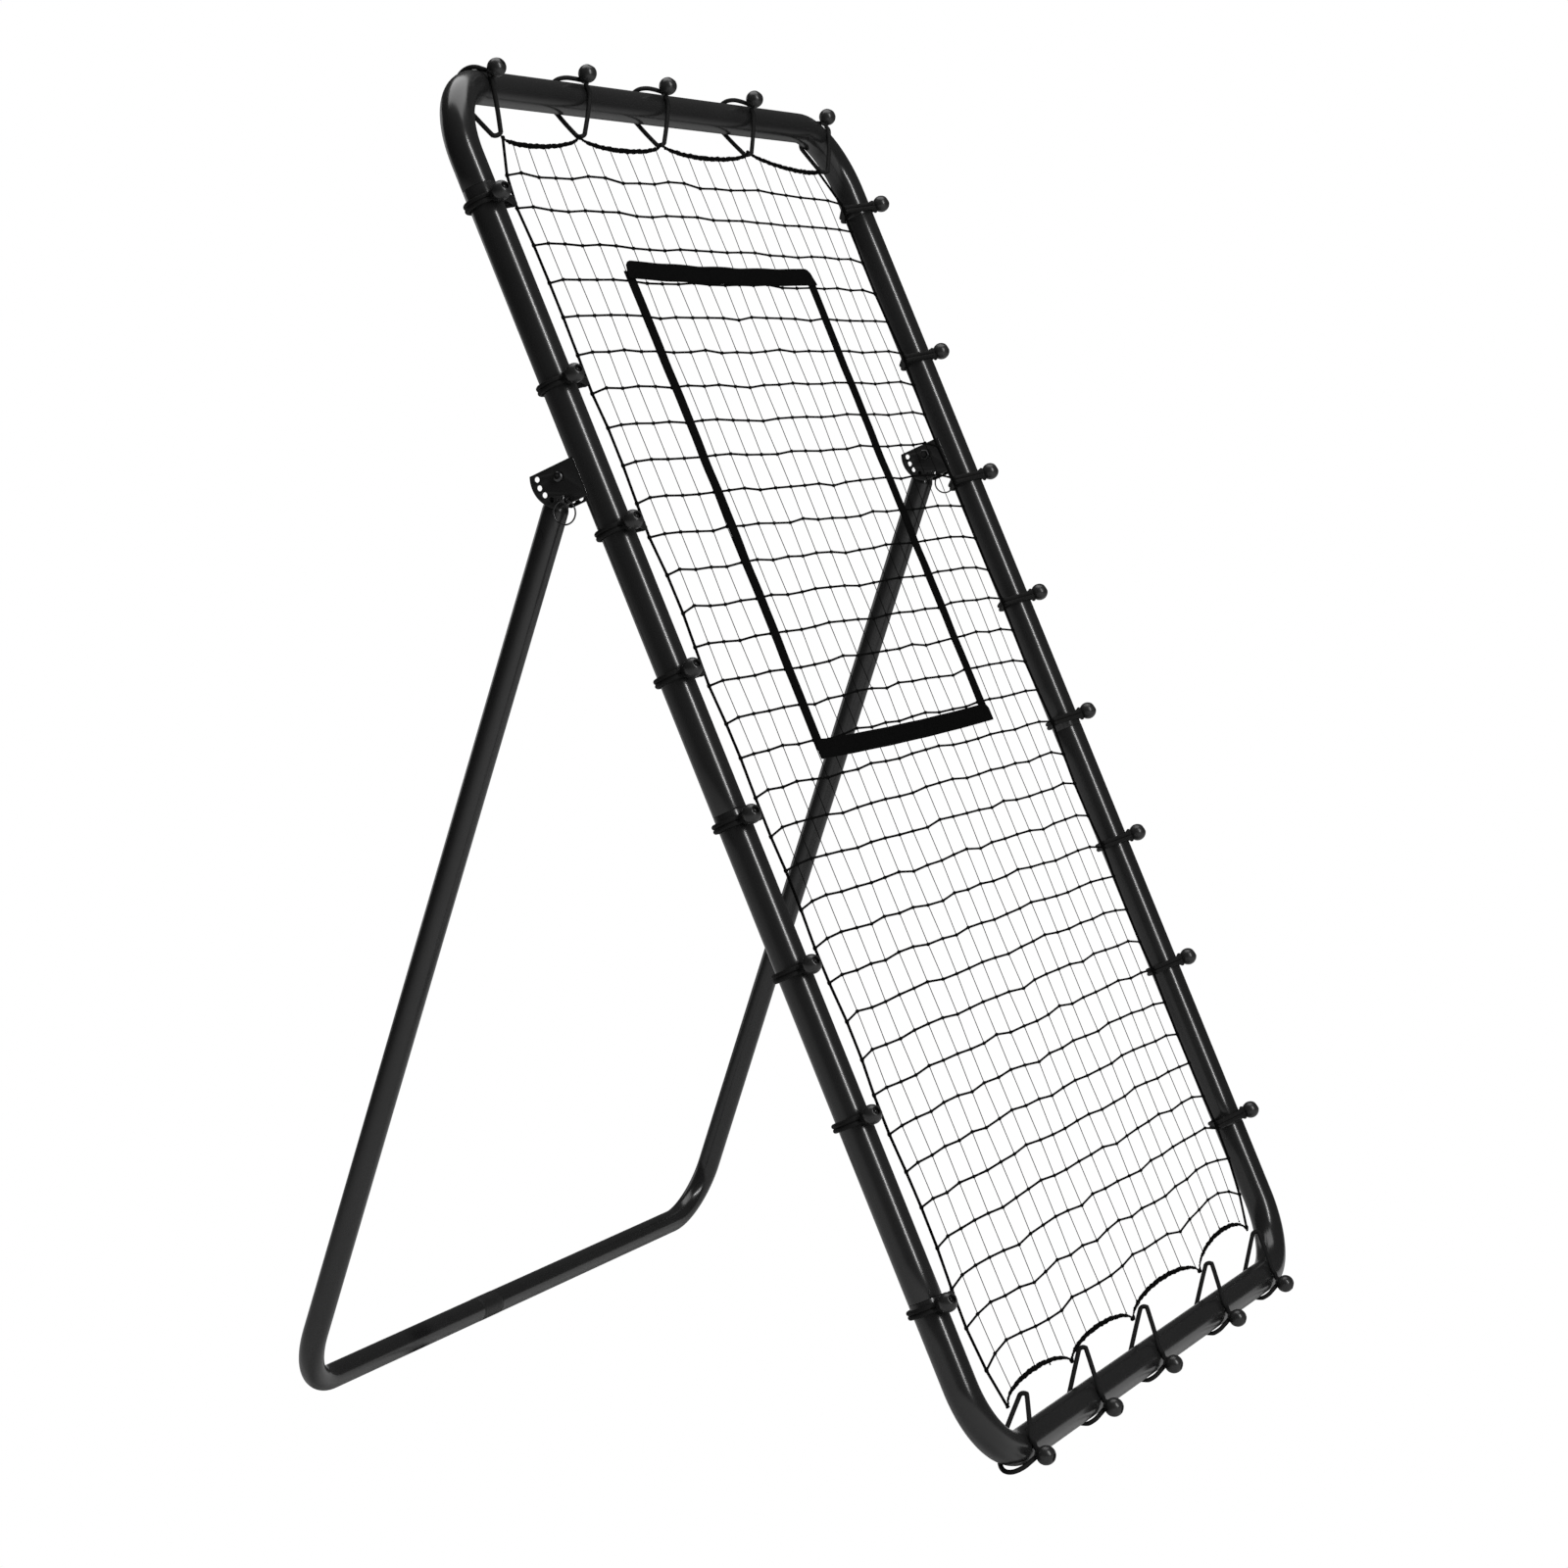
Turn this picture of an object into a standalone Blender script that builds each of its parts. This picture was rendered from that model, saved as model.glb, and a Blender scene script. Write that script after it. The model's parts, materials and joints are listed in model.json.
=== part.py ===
"""Pitch back rebounder: a leaning rounded frame of round steel tube, a mesh net held in it
by ball bungees, a webbing strike zone, and a U-shaped stand hinged between bracket plates.

Units are metres, +Z up. X runs across the frame, the player stands at -Y and the stand is
at +Y. The origin is on the floor, at the centre of the object's own box.
"""
from math import acos, asin, atan2, cos, hypot, pi, radians, sin, tan

import bmesh
import bpy
from mathutils import Matrix, Vector

MM = 0.001
GAP = 0.3 * MM                   # gap between neighbouring solids

# ---- main frame -------------------------------------------------------------------------
LEAN = radians(24.2)             # how far the frame leans back
HALF_WIDTH = 591.5 * MM          # centre plane to a side rail's axis
LENGTH = 1768 * MM               # bottom rail's axis to the top rail's axis
TUBE_R = 21 * MM
TUBE_WALL = 1.5 * MM
BEND_R = 100 * MM                # centre line radius of the four corner bends
SEAM_TOP = 1631 * MM             # push joints, measured up the rails from the bottom axis
SEAM_MIDDLE = 825 * MM
SEAM_BOTTOM = 209 * MM
SPIGOT = 32 * MM                 # reduced end that pushes into the next tube
SPIGOT_GAP = 0.35 * MM

# ---- ball bungees -----------------------------------------------------------------------
CORD = 5 * MM
BALL_R = 12 * MM
BALL_OUT = 37.4 * MM             # tube axis to a ball's centre
LEFT_HEIGHTS = [s * MM for s in (1611, 1375, 1187, 998, 812, 622, 433, 198)]
RIGHT_HEIGHTS = [s * MM for s in (1638, 1404, 1214, 1024, 838, 648, 455, 218)]
SIDE_BALL = radians(27)          # how far a ball sits outward from straight ahead
BOTTOM_BALL = radians(31)
# each pair: the ball's place across the frame, then how far across its loop meets the net
TOP_PLACES = ((-494, -8, 14), (-223, -38, 37), (11, -36, 31), (289, -31, 27), (543, 0, 47))
BOTTOM_PLACES = ((-505, 50), (-262, 35), (-26, 38), (250, 40), (473, 35))
SIDE_REACH = 58.2 * MM           # tube axis to the middle of the loop's turn at the net
TOP_REACH = 52 * MM
TOP_CORNER_REACH = 63 * MM
BOTTOM_REACH = 60 * MM
TURN_R = 3.4 * MM                # centre line radius of that turn
DOUBLE = 10.6 * MM               # two cords side by side, on the side rails

# ---- net and strike zone ----------------------------------------------------------------
NET_FRONT = 6 * MM               # net plane ahead of the rails' axes
NET_THICK = 2 * MM
NET_HALF_WIDTH = 529 * MM
NET_LOW = 74 * MM
NET_HIGH = 1703 * MM
NET_CORNER = 60 * MM             # corner cut off where the corner bungees pull
WEBBING = 25 * MM
WEBBING_THICK = 1.6 * MM
ZONE_HALF_WIDTH = 289 * MM       # centre lines of the strike zone's webbing
ZONE_LOW = 873 * MM
ZONE_HIGH = 1526 * MM

# ---- bracket plates ---------------------------------------------------------------------
CROSSING = 1311.1 * MM           # where the legs' line crosses the rail's axis
PIVOT_BACK = 36 * MM             # rail axis back to the pivot
PLATE_INNER = 16.5 * MM          # rail's centre plane to a plate's inner face
PLATE = 2.5 * MM
PLATE_ABOVE = 15 * MM            # pivot to the plate's top edge
PLATE_BELOW = 35 * MM
PLATE_FRONT = 13.4 * MM          # rail axis back to the welded edge
PLATE_R = 38.5 * MM              # round back edge, about the pivot
HOLE_CIRCLE = 29 * MM            # circle of lock holes, about the pivot
HOLE_R = 3.5 * MM
HOLE_STEP = radians(21.2)
HOLES = range(-2, 4)             # lock holes, counted up from the one on the leg's line

# ---- stand ------------------------------------------------------------------------------
STAND_LEAN = radians(18.13)
LEG_R = 16 * MM
LEG_WALL = 1.4 * MM
LEG_END_R = 14 * MM              # reduced, domed top end between the plates
LEG_END = 34 * MM                # its length below the pivot
TAPER = 9 * MM
STAND_BEND_R = 82 * MM
JOINT_AT = -91 * MM              # middle of the stand's joint, off centre on the floor bar
JOINT_HALF = 27 * MM
JOINT_SPIGOT = 40 * MM

# ---- hardware ---------------------------------------------------------------------------
BOLT_R = 4 * MM
BOLT_HOLE_R = 4.5 * MM
BOLT_HEAD_R = 7 * MM
BOLT_HEAD = 4.5 * MM
NUT_R = 7.5 * MM
NUT = 6.5 * MM
PIN_R = 3 * MM
PIN_NECK = 2 * MM                # plate to the pin's eye
EYE_R = 5.5 * MM
EYE_HOLE_R = 2.4 * MM
EYE = 3 * MM
RING_R = 14.5 * MM
RING_WIRE_R = 0.9 * MM

TUBE_SIDES = 16
FRAME_BEND_STEPS = 12            # fine enough to stay inside the bungee loops
STAND_BEND_STEPS = 6

# ---- worked out from the above ----------------------------------------------------------
AXIS_UP = TUBE_R + GAP + CORD            # the bottom rail stands on its bungee cords
LEG_TO_RAIL = LEAN + STAND_LEAN
PIVOT_S = CROSSING - PIVOT_BACK / tan(LEG_TO_RAIL)
PIVOT_Y = PIVOT_S * sin(LEAN) + PIVOT_BACK * cos(LEAN)
PIVOT_Z = AXIS_UP + PIVOT_S * cos(LEAN) - PIVOT_BACK * sin(LEAN)
LEG_LENGTH = (PIVOT_Z - LEG_R) / cos(STAND_LEAN)
BAR_Y = PIVOT_Y + LEG_LENGTH * sin(STAND_LEAN)
FRONT_Y = -BALL_OUT * cos(BOTTOM_BALL - LEAN) - BALL_R
ORIGIN_Y = (BAR_Y + LEG_R + FRONT_Y) / 2

ACROSS = Vector((1, 0, 0))
UP_FRAME = Vector((0, sin(LEAN), cos(LEAN)))
UP_STAND = Vector((0, -sin(STAND_LEAN), cos(STAND_LEAN)))
FRAME_ORIGIN = Vector((0, -ORIGIN_Y, AXIS_UP))
STAND_ORIGIN = Vector((0, BAR_Y - ORIGIN_Y, LEG_R))
PIVOT = Vector((0, PIVOT_Y - ORIGIN_Y, PIVOT_Z))


def axes(origin, u, v):
    """A matrix whose columns are u, v and their cross product."""
    u, v = u.normalized(), v.normalized()
    return Matrix.Translation(origin) @ Matrix((u, v, u.cross(v))).transposed().to_4x4()


FRAME = axes(FRAME_ORIGIN, ACROSS, UP_FRAME)      # x across, y up the frame, z ahead of it
STAND = axes(STAND_ORIGIN, ACROSS, UP_STAND)      # x across, y up the legs


# ---- scene and materials ----------------------------------------------------------------
def clear_scene():
    for old in list(bpy.data.objects):
        bpy.data.objects.remove(old, do_unlink=True)


def material(name, colour, roughness, metallic=0.0):
    made = bpy.data.materials.new(name)
    made.use_nodes = True
    shader = made.node_tree.nodes["Principled BSDF"]
    shader.inputs["Base Color"].default_value = (*colour, 1)
    shader.inputs["Roughness"].default_value = roughness
    shader.inputs["Metallic"].default_value = metallic
    return made


# ---- mesh helpers -----------------------------------------------------------------------
def finish(name, bm, finish_material, origin=None):
    """Turn a bmesh in world coordinates into an object, its origin where it turns or slides."""
    bmesh.ops.recalc_face_normals(bm, faces=bm.faces)
    start = Vector(origin) if origin is not None else Vector()
    bmesh.ops.translate(bm, verts=bm.verts, vec=-start)
    mesh = bpy.data.meshes.new(name)
    bm.to_mesh(mesh)
    bm.free()
    mesh.shade_smooth()
    mesh.set_sharp_from_angle(angle=radians(35))
    made = bpy.data.objects.new(name, mesh)
    made.location = start
    bpy.context.scene.collection.objects.link(made)
    if finish_material:
        mesh.materials.append(finish_material)
    return made


def loft(bm, rings, closed=False):
    """Join rings of vertices with faces, in a loop when closed."""
    pairs = zip(rings, rings[1:] + rings[:1]) if closed else zip(rings, rings[1:])
    for low, high in pairs:
        for i in range(len(low)):
            j = (i + 1) % len(low)
            bm.faces.new((low[i], low[j], high[j], high[i]))


def add_prism(bm, place, outline, low, high):
    """A straight prism: an outline in the place's x and y, between two heights along its z."""
    rings = [[bm.verts.new(place @ Vector((x, y, z))) for x, y in outline] for z in (low, high)]
    loft(bm, rings)
    bm.faces.new(rings[0][::-1])
    bm.faces.new(rings[1])


def circle(radius, sides, x=0.0, y=0.0):
    turn = 2 * pi / sides
    return [(x + radius * cos(i * turn), y + radius * sin(i * turn)) for i in range(sides)]


def cut(target, cutter_mesh, operation="DIFFERENCE"):
    """Keep a cutter as a hidden wire object and cut the target with it."""
    cutter_mesh.hide_render = True
    cutter_mesh.display_type = "WIRE"
    modifier = target.modifiers.new(operation.title(), "BOOLEAN")
    modifier.operation = operation
    modifier.object = cutter_mesh
    modifier.solver = "EXACT"


# ---- bent tubes -------------------------------------------------------------------------
def bend(x, y, start, end, radius, steps):
    """Stations round a bend, each a point and its outward direction."""
    angles = [start + (end - start) * i / steps for i in range(steps + 1)]
    return [(x + radius * cos(a), y + radius * sin(a), cos(a), sin(a)) for a in angles]


def tube_ring(bm, place, station, radius):
    x, y, out_x, out_y = station
    ring = []
    for i in range(TUBE_SIDES):
        turn = 2 * pi * i / TUBE_SIDES
        side = radius * cos(turn)
        point = Vector((x + out_x * side, y + out_y * side, radius * sin(turn)))
        ring.append(bm.verts.new(place @ point))
    return ring


def tube(name, place, outer, inner, finish_material, domed=False, origin=None):
    """A hollow tube from lists of (station, radius). A domed one is shut at its far end."""
    bm = bmesh.new()
    skin = [tube_ring(bm, place, station, radius) for station, radius in outer]
    bore = [tube_ring(bm, place, station, radius) for station, radius in inner]
    loft(bm, skin)
    loft(bm, bore)
    loft(bm, [skin[0], bore[0]])
    if domed:
        bm.faces.new(skin[-1])
        bm.faces.new(bore[-1])
    else:
        loft(bm, [skin[-1], bore[-1]])
    return finish(name, bm, finish_material, origin)


def plain(stations, radius):
    return [(station, radius) for station in stations]


# ---- frame ------------------------------------------------------------------------------
def make_bow(name, seam, end, steel):
    """A frame end with its two corner bends, open at both push joints."""
    corner = end + (-BEND_R if end > seam else BEND_R)
    half = pi / 2 if end > seam else -pi / 2
    x = HALF_WIDTH - BEND_R
    stations = [(-HALF_WIDTH, seam, -1, 0)]
    stations += bend(-x, corner, 2 * half, half, BEND_R, FRAME_BEND_STEPS)
    stations += bend(x, corner, half, 0, BEND_R, FRAME_BEND_STEPS)
    stations += [(HALF_WIDTH, seam, 1, 0)]
    wall = TUBE_R - TUBE_WALL
    return tube(name, FRAME, plain(stations, TUBE_R), plain(stations, wall), steel)


def make_rail(name, side, low, high, spigot_below, steel):
    """A straight side rail. Its top end, and its bottom end if asked, is a reduced spigot."""
    spigot_r = TUBE_R - TUBE_WALL - SPIGOT_GAP
    full, bore, narrow = TUBE_R, TUBE_R - TUBE_WALL, spigot_r - TUBE_WALL
    low, high = low + GAP / 2, high - GAP / 2

    def at(y):
        return (side * HALF_WIDTH, y, side, 0)

    outer = [(at(low), full), (at(high), full), (at(high), spigot_r), (at(high + SPIGOT), spigot_r)]
    inner = [(at(low), bore), (at(high - 2 * TAPER), bore), (at(high - TAPER), narrow),
             (at(high + SPIGOT), narrow)]
    if spigot_below:
        outer = [(at(low - SPIGOT), spigot_r), (at(low), spigot_r)] + outer
        inner = [(at(low - SPIGOT), narrow), (at(low + TAPER), narrow),
                 (at(low + 2 * TAPER), bore)] + inner[1:]
    return tube(name, FRAME, outer, inner, steel)


# ---- ball bungees -----------------------------------------------------------------------
def belt(reach, tube_r, turn_r, anchor):
    """Corners of a loop round the tube and a small turn at the net.

    Each corner is (outward, ahead, share), and share says how far it is on the way to the net.
    The straight sides touch both circles, and one of them touches the tube at the anchor.
    """
    centre = (-(reach - turn_r), NET_FRONT)
    aim = atan2(centre[0], centre[1])
    spread = acos((tube_r - turn_r) / hypot(*centre))
    stops = [aim + spread, anchor, aim - spread + 2 * pi]
    corners = []
    for (start, end), steps in zip(zip(stops, stops[1:]), (5, 4)):
        step = (end - start) / steps
        for i in range(steps):
            angle = start + (i + 0.5) * step
            radius = tube_r / cos(step / 2)
            corners.append((radius * sin(angle), radius * cos(angle), 0.0))
    step = 2 * spread / 3
    for i in range(3):
        angle = aim - spread + (i + 0.5) * step
        radius = turn_r / cos(step / 2)
        corners.append((centre[0] + radius * sin(angle), centre[1] + radius * cos(angle), 1.0))
    return corners


def bungee_mesh(reach, ball_angle, width, shift, anchor):
    """One bungee, in axes along the tube, outward and ahead: a cord loop fused to its ball."""
    cord_r = TUBE_R + GAP + CORD / 2
    sides = []
    for grow in (-CORD / 2, CORD / 2):
        corners = belt(reach + grow, cord_r + grow, TURN_R + grow, anchor)
        for along in (-width / 2, width / 2):
            sides.append([(along + shift * share, out, ahead) for out, ahead, share in corners])
    near_low, near_high, far_low, far_high = sides
    bm = bmesh.new()
    rings = [[bm.verts.new(p) for p in corner] for corner in zip(near_low, near_high, far_high, far_low)]
    loft(bm, rings, closed=True)
    loop = finish("loop", bm, None)
    ball_bm = bmesh.new()
    place = Matrix.Translation((0, BALL_OUT * sin(ball_angle), BALL_OUT * cos(ball_angle)))
    bmesh.ops.create_icosphere(ball_bm, subdivisions=2, radius=BALL_R, matrix=place)
    ball = finish("ball", ball_bm, None)
    cut(loop, ball, "UNION")
    bpy.context.view_layer.update()
    whole = loop.evaluated_get(bpy.context.evaluated_depsgraph_get())
    mesh = bpy.data.meshes.new_from_object(whole)
    for scrap in (loop, ball):
        bpy.data.objects.remove(scrap, do_unlink=True)
    return mesh


def make_bungee(name, mesh, outward, x, y, rubber):
    """Place a bungee on the frame. Its outward direction lies in the frame's plane."""
    out = Vector((*outward, 0))
    along = out.cross(Vector((0, 0, 1)))
    turn = Matrix((along, out, Vector((0, 0, 1)))).transposed().to_4x4()
    made = bpy.data.objects.new(name, mesh)
    made.matrix_world = FRAME @ Matrix.Translation((x, y, 0)) @ turn
    if not mesh.materials:
        mesh.materials.append(rubber)
    bpy.context.scene.collection.objects.link(made)


def on_end_rail(x, end, away):
    """The end rail's axis at x, and its outward direction, also where it has begun to bend."""
    past = max(0.0, abs(x) - (HALF_WIDTH - BEND_R))
    side = 1 if x > 0 else -1
    lean = past / BEND_R
    rise = (1 - lean * lean) ** 0.5
    return (side * lean, away * rise), end - away * BEND_R * (1 - rise)


def make_bungees(rubber):
    down = pi / 2 + LEAN              # straight down, seen from a bottom bungee's own axes
    side_mesh = bungee_mesh(SIDE_REACH, SIDE_BALL, DOUBLE, 0.0, down)
    for side, word, heights in ((-1, "left", LEFT_HEIGHTS), (1, "right", RIGHT_HEIGHTS)):
        for i, height in enumerate(heights, 1):
            name = f"bungee_{word}_{i}"
            make_bungee(name, side_mesh, (side, 0), side * HALF_WIDTH, height, rubber)
    for i, (x, shift, angle) in enumerate(TOP_PLACES, 1):
        reach = TOP_CORNER_REACH if i in (1, len(TOP_PLACES)) else TOP_REACH
        outward, y = on_end_rail(x * MM, LENGTH, 1)
        mesh = bungee_mesh(reach, radians(angle), CORD, shift * MM, down)
        make_bungee(f"bungee_top_{i}", mesh, outward, x * MM, y, rubber)
    for i, (x, shift) in enumerate(BOTTOM_PLACES, 1):
        outward, y = on_end_rail(x * MM, 0, -1)
        mesh = bungee_mesh(BOTTOM_REACH, BOTTOM_BALL, CORD, -shift * MM, down)
        make_bungee(f"bungee_bottom_{i}", mesh, outward, x * MM, y, rubber)


# ---- net and strike zone ----------------------------------------------------------------
def make_net(cord):
    w, c = NET_HALF_WIDTH, NET_CORNER
    right = [(w - c, NET_LOW), (w, NET_LOW + c), (w, NET_HIGH - c), (w - c, NET_HIGH)]
    outline = right + [(-x, y) for x, y in reversed(right)]
    bm = bmesh.new()
    add_prism(bm, FRAME, outline, NET_FRONT - NET_THICK / 2, NET_FRONT + NET_THICK / 2)
    finish("net", bm, cord)


def make_zone(webbing):
    half, front = WEBBING / 2, NET_FRONT + NET_THICK / 2 + GAP
    across = ZONE_HALF_WIDTH + half
    pieces = {"zone_strap_top": (-across, across, ZONE_HIGH - half, ZONE_HIGH + half),
              "zone_strap_bottom": (-across, across, ZONE_LOW - half, ZONE_LOW + half)}
    low, high = ZONE_LOW + half + GAP, ZONE_HIGH - half - GAP
    for side, word in ((-1, "left"), (1, "right")):
        x = side * ZONE_HALF_WIDTH
        pieces[f"zone_strap_{word}"] = (x - half, x + half, low, high)
    for name, (x0, x1, y0, y1) in pieces.items():
        bm = bmesh.new()
        add_prism(bm, FRAME, [(x0, y0), (x1, y0), (x1, y1), (x0, y1)], front, front + WEBBING_THICK)
        finish(name, bm, webbing)


# ---- bracket plates ---------------------------------------------------------------------
def plate_axes(x):
    """x back from the rail, y up it, z across, with its origin on the pivot at x."""
    return axes(PIVOT + ACROSS * x, UP_FRAME.cross(ACROSS), UP_FRAME)


def plate_outline():
    """Straight top, front and bottom edges, and a round back edge about the pivot."""
    start, top = -asin(PLATE_BELOW / PLATE_R), asin(PLATE_ABOVE / PLATE_R)
    front = PLATE_FRONT - PIVOT_BACK
    steps = 8
    arc = [start + (top - start) * i / steps for i in range(steps + 1)]
    outline = [(front, PLATE_ABOVE), (front, -PLATE_BELOW)]
    return outline + [(PLATE_R * cos(a), PLATE_R * sin(a)) for a in arc]


def hole_place(k):
    """Centre of a lock hole, from the pivot."""
    angle = LEG_TO_RAIL - pi / 2 + k * HOLE_STEP
    return HOLE_CIRCLE * cos(angle), HOLE_CIRCLE * sin(angle)


def make_plate(name, centre_x, steel):
    place = plate_axes(centre_x)
    bm = bmesh.new()
    add_prism(bm, place, plate_outline(), -PLATE / 2, PLATE / 2)
    plate = finish(name, bm, steel)
    holes = bmesh.new()
    add_prism(holes, place, circle(BOLT_HOLE_R, 12), -PLATE, PLATE)
    for k in HOLES:
        add_prism(holes, place, circle(HOLE_R, 8, *hole_place(k)), -PLATE, PLATE)
    cut(plate, finish(name + "_cutter", holes, None))


# ---- stand ------------------------------------------------------------------------------
def make_leg(name, side, steel):
    """Half of the stand: its part of the floor bar, a bend and a leg with a domed end."""
    bend_x = HALF_WIDTH - STAND_BEND_R
    start = JOINT_AT + side * (JOINT_HALF + GAP / 2)
    shoulder, neck = LEG_LENGTH - LEG_END - TAPER, LEG_LENGTH - LEG_END
    turn = (-pi / 2, -pi) if side < 0 else (-pi / 2, 0)

    def at(y):
        return (side * HALF_WIDTH, y, side, 0)

    path = [(start, 0, 0, -1)]
    path += bend(side * bend_x, STAND_BEND_R, *turn, STAND_BEND_R, STAND_BEND_STEPS)
    outer = plain(path + [at(shoulder)], LEG_R) + plain([at(neck), at(LEG_LENGTH)], LEG_END_R)
    for angle in (radians(30), radians(58), radians(80)):
        outer.append((at(LEG_LENGTH + LEG_END_R * sin(angle)), LEG_END_R * cos(angle)))
    end_bore = LEG_END_R - LEG_WALL
    inner = plain(path + [at(shoulder)], LEG_R - LEG_WALL)
    inner += plain([at(neck), at(LEG_LENGTH + LEG_END_R / 2)], end_bore)
    leg = tube(name, STAND, outer, inner, steel, domed=True, origin=PIVOT)
    hole = bmesh.new()
    place = axes(PIVOT + ACROSS * side * HALF_WIDTH, Vector((0, 1, 0)), Vector((0, 0, 1)))
    add_prism(hole, place, circle(BOLT_HOLE_R, 12), -2 * LEG_R, 2 * LEG_R)
    cut(leg, finish(name + "_cutter", hole, None))


def make_joint(plastic):
    """The stand's joint: a flush collar with a spigot into each half."""
    spigot_r = LEG_R - LEG_WALL - SPIGOT_GAP
    ends = JOINT_HALF + JOINT_SPIGOT

    def at(x):
        return (JOINT_AT + x, 0, 0, -1)

    outer = [(at(-ends), spigot_r), (at(-JOINT_HALF), spigot_r), (at(-JOINT_HALF), LEG_R),
             (at(JOINT_HALF), LEG_R), (at(JOINT_HALF), spigot_r), (at(ends), spigot_r)]
    inner = plain([at(-ends), at(ends)], spigot_r - 2 * LEG_WALL)
    tube("stand_joint", STAND, outer, inner, plastic, origin=PIVOT)


# ---- hardware ---------------------------------------------------------------------------
def outward_axes(side, point):
    """z out of the frame's side, through a point."""
    if side > 0:
        return axes(point, Vector((0, 1, 0)), Vector((0, 0, 1)))
    return axes(point, Vector((0, -1, 0)), Vector((0, 0, 1)))


def fuse(name, base, extra, finish_material, origin=None):
    """Two solids as one body."""
    made = finish(name, base, finish_material, origin)
    cut(made, finish(name + "_cutter", extra, None), "UNION")
    return made


def make_bolt(side, word, zinc):
    """Pivot bolt through both plates and the leg, with its nut on the inner side."""
    place = outward_axes(side, PIVOT + ACROSS * side * HALF_WIDTH)
    face = PLATE_INNER + PLATE + GAP
    bm = bmesh.new()
    shank = [bm.verts.new(place @ Vector((x, y, -face - NUT - 2 * MM))) for x, y in circle(BOLT_R, 12)]
    collar = [bm.verts.new(place @ Vector((x, y, face))) for x, y in circle(BOLT_R, 12)]
    head = [[bm.verts.new(place @ Vector((x, y, z))) for x, y in circle(r, 12)]
            for r, z in ((BOLT_HEAD_R, face), (BOLT_HEAD_R, face + BOLT_HEAD * 0.6),
                         (BOLT_HEAD_R * 0.7, face + BOLT_HEAD))]
    loft(bm, [shank, collar] + head)
    bm.faces.new(shank)
    bm.faces.new(head[-1])
    finish(f"pivot_bolt_{word}", bm, zinc)
    bm = bmesh.new()
    rings = [[bm.verts.new(place @ Vector((x, y, -z))) for x, y in circle(r, n)]
             for r, n, z in ((BOLT_R + GAP, 12, face), (BOLT_R + GAP, 12, face + NUT))]
    hexagon = []
    for z in (face, face + NUT):
        points = []
        for i in range(12):
            angle = i * pi / 6
            radius = NUT_R if i % 2 == 0 else NUT_R * cos(pi / 6)
            points.append(bm.verts.new(place @ Vector((radius * cos(angle), radius * sin(angle), -z))))
        hexagon.append(points)
    loft(bm, rings)
    loft(bm, hexagon)
    loft(bm, [rings[0], hexagon[0]])
    loft(bm, [rings[1], hexagon[1]])
    finish(f"pivot_nut_{word}", bm, zinc)


def pin_place(side):
    x, y = hole_place(HOLES[0])
    return plate_axes(side * HALF_WIDTH) @ Vector((x, y, 0))


def make_pin(side, word, zinc):
    """Lock pin in the lowest hole, short of the leg, with a flat eye for its ring."""
    centre = pin_place(side)
    place = outward_axes(side, centre)
    start = PLATE_INNER
    eye_at = PLATE_INNER + PLATE + PIN_NECK + EYE_R
    shaft = bmesh.new()
    add_prism(shaft, place, circle(PIN_R, 12), start, eye_at - EYE_HOLE_R - 1.2 * MM)
    eye = bmesh.new()
    eye_place = axes(place @ Vector((0, 0, eye_at)), Vector((1, 0, 0)), Vector((0, 0, 1)))
    rings = [[eye.verts.new(eye_place @ Vector((x, y, z))) for x, y in circle(r, 12)]
             for r, z in ((EYE_R, -EYE / 2), (EYE_R, EYE / 2), (EYE_HOLE_R, EYE / 2), (EYE_HOLE_R, -EYE / 2))]
    loft(eye, rings, closed=True)
    fuse(f"lock_pin_{word}", shaft, eye, zinc, origin=centre)
    hang = place @ Vector((0, 0, eye_at)) - Vector((0, 0, EYE_HOLE_R - RING_WIRE_R - GAP))
    make_ring(f"pin_ring_{word}", hang, zinc)


def make_ring(name, hang, zinc):
    """Wire ring hanging through the eye, square to the frame's side."""
    bm = bmesh.new()
    rings = []
    for i in range(20):
        turn = 2 * pi * i / 20
        spoke = Vector((0, sin(turn), cos(turn)))
        centre = hang + Vector((0, 0, -RING_R)) + spoke * RING_R
        rings.append([bm.verts.new(centre + spoke * RING_WIRE_R * cos(a) + ACROSS * RING_WIRE_R * sin(a))
                      for a in (k * pi / 3 for k in range(6))])
    loft(bm, rings, closed=True)
    finish(name, bm, zinc, origin=hang)


# ---- the whole object -------------------------------------------------------------------
def main():
    clear_scene()
    steel = material("powder_coat", (0.03, 0.03, 0.03), 0.38)
    rubber = material("bungee", (0.035, 0.035, 0.035), 0.5)
    cord = material("net_cord", (0.012, 0.012, 0.012), 0.8)
    webbing = material("webbing", (0.01, 0.01, 0.01), 0.85)
    zinc = material("hardware", (0.05, 0.05, 0.05), 0.3, 1.0)
    plastic = material("joint_plastic", (0.02, 0.02, 0.02), 0.6)

    make_bow("frame_top", SEAM_TOP + GAP / 2, LENGTH, steel)
    make_bow("frame_bottom", SEAM_BOTTOM - GAP / 2, 0, steel)
    for side, word in ((-1, "left"), (1, "right")):
        make_rail(f"rail_upper_{word}", side, SEAM_MIDDLE, SEAM_TOP, False, steel)
        make_rail(f"rail_lower_{word}", side, SEAM_BOTTOM, SEAM_MIDDLE, True, steel)
        middle = PLATE_INNER + PLATE / 2
        make_plate(f"plate_outer_{word}", side * (HALF_WIDTH + middle), steel)
        make_plate(f"plate_inner_{word}", side * (HALF_WIDTH - middle), steel)
        make_leg(f"stand_{word}", side, steel)
        make_bolt(side, word, zinc)
        make_pin(side, word, zinc)
    make_joint(plastic)
    make_net(cord)
    make_zone(webbing)
    make_bungees(rubber)


main()
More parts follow.
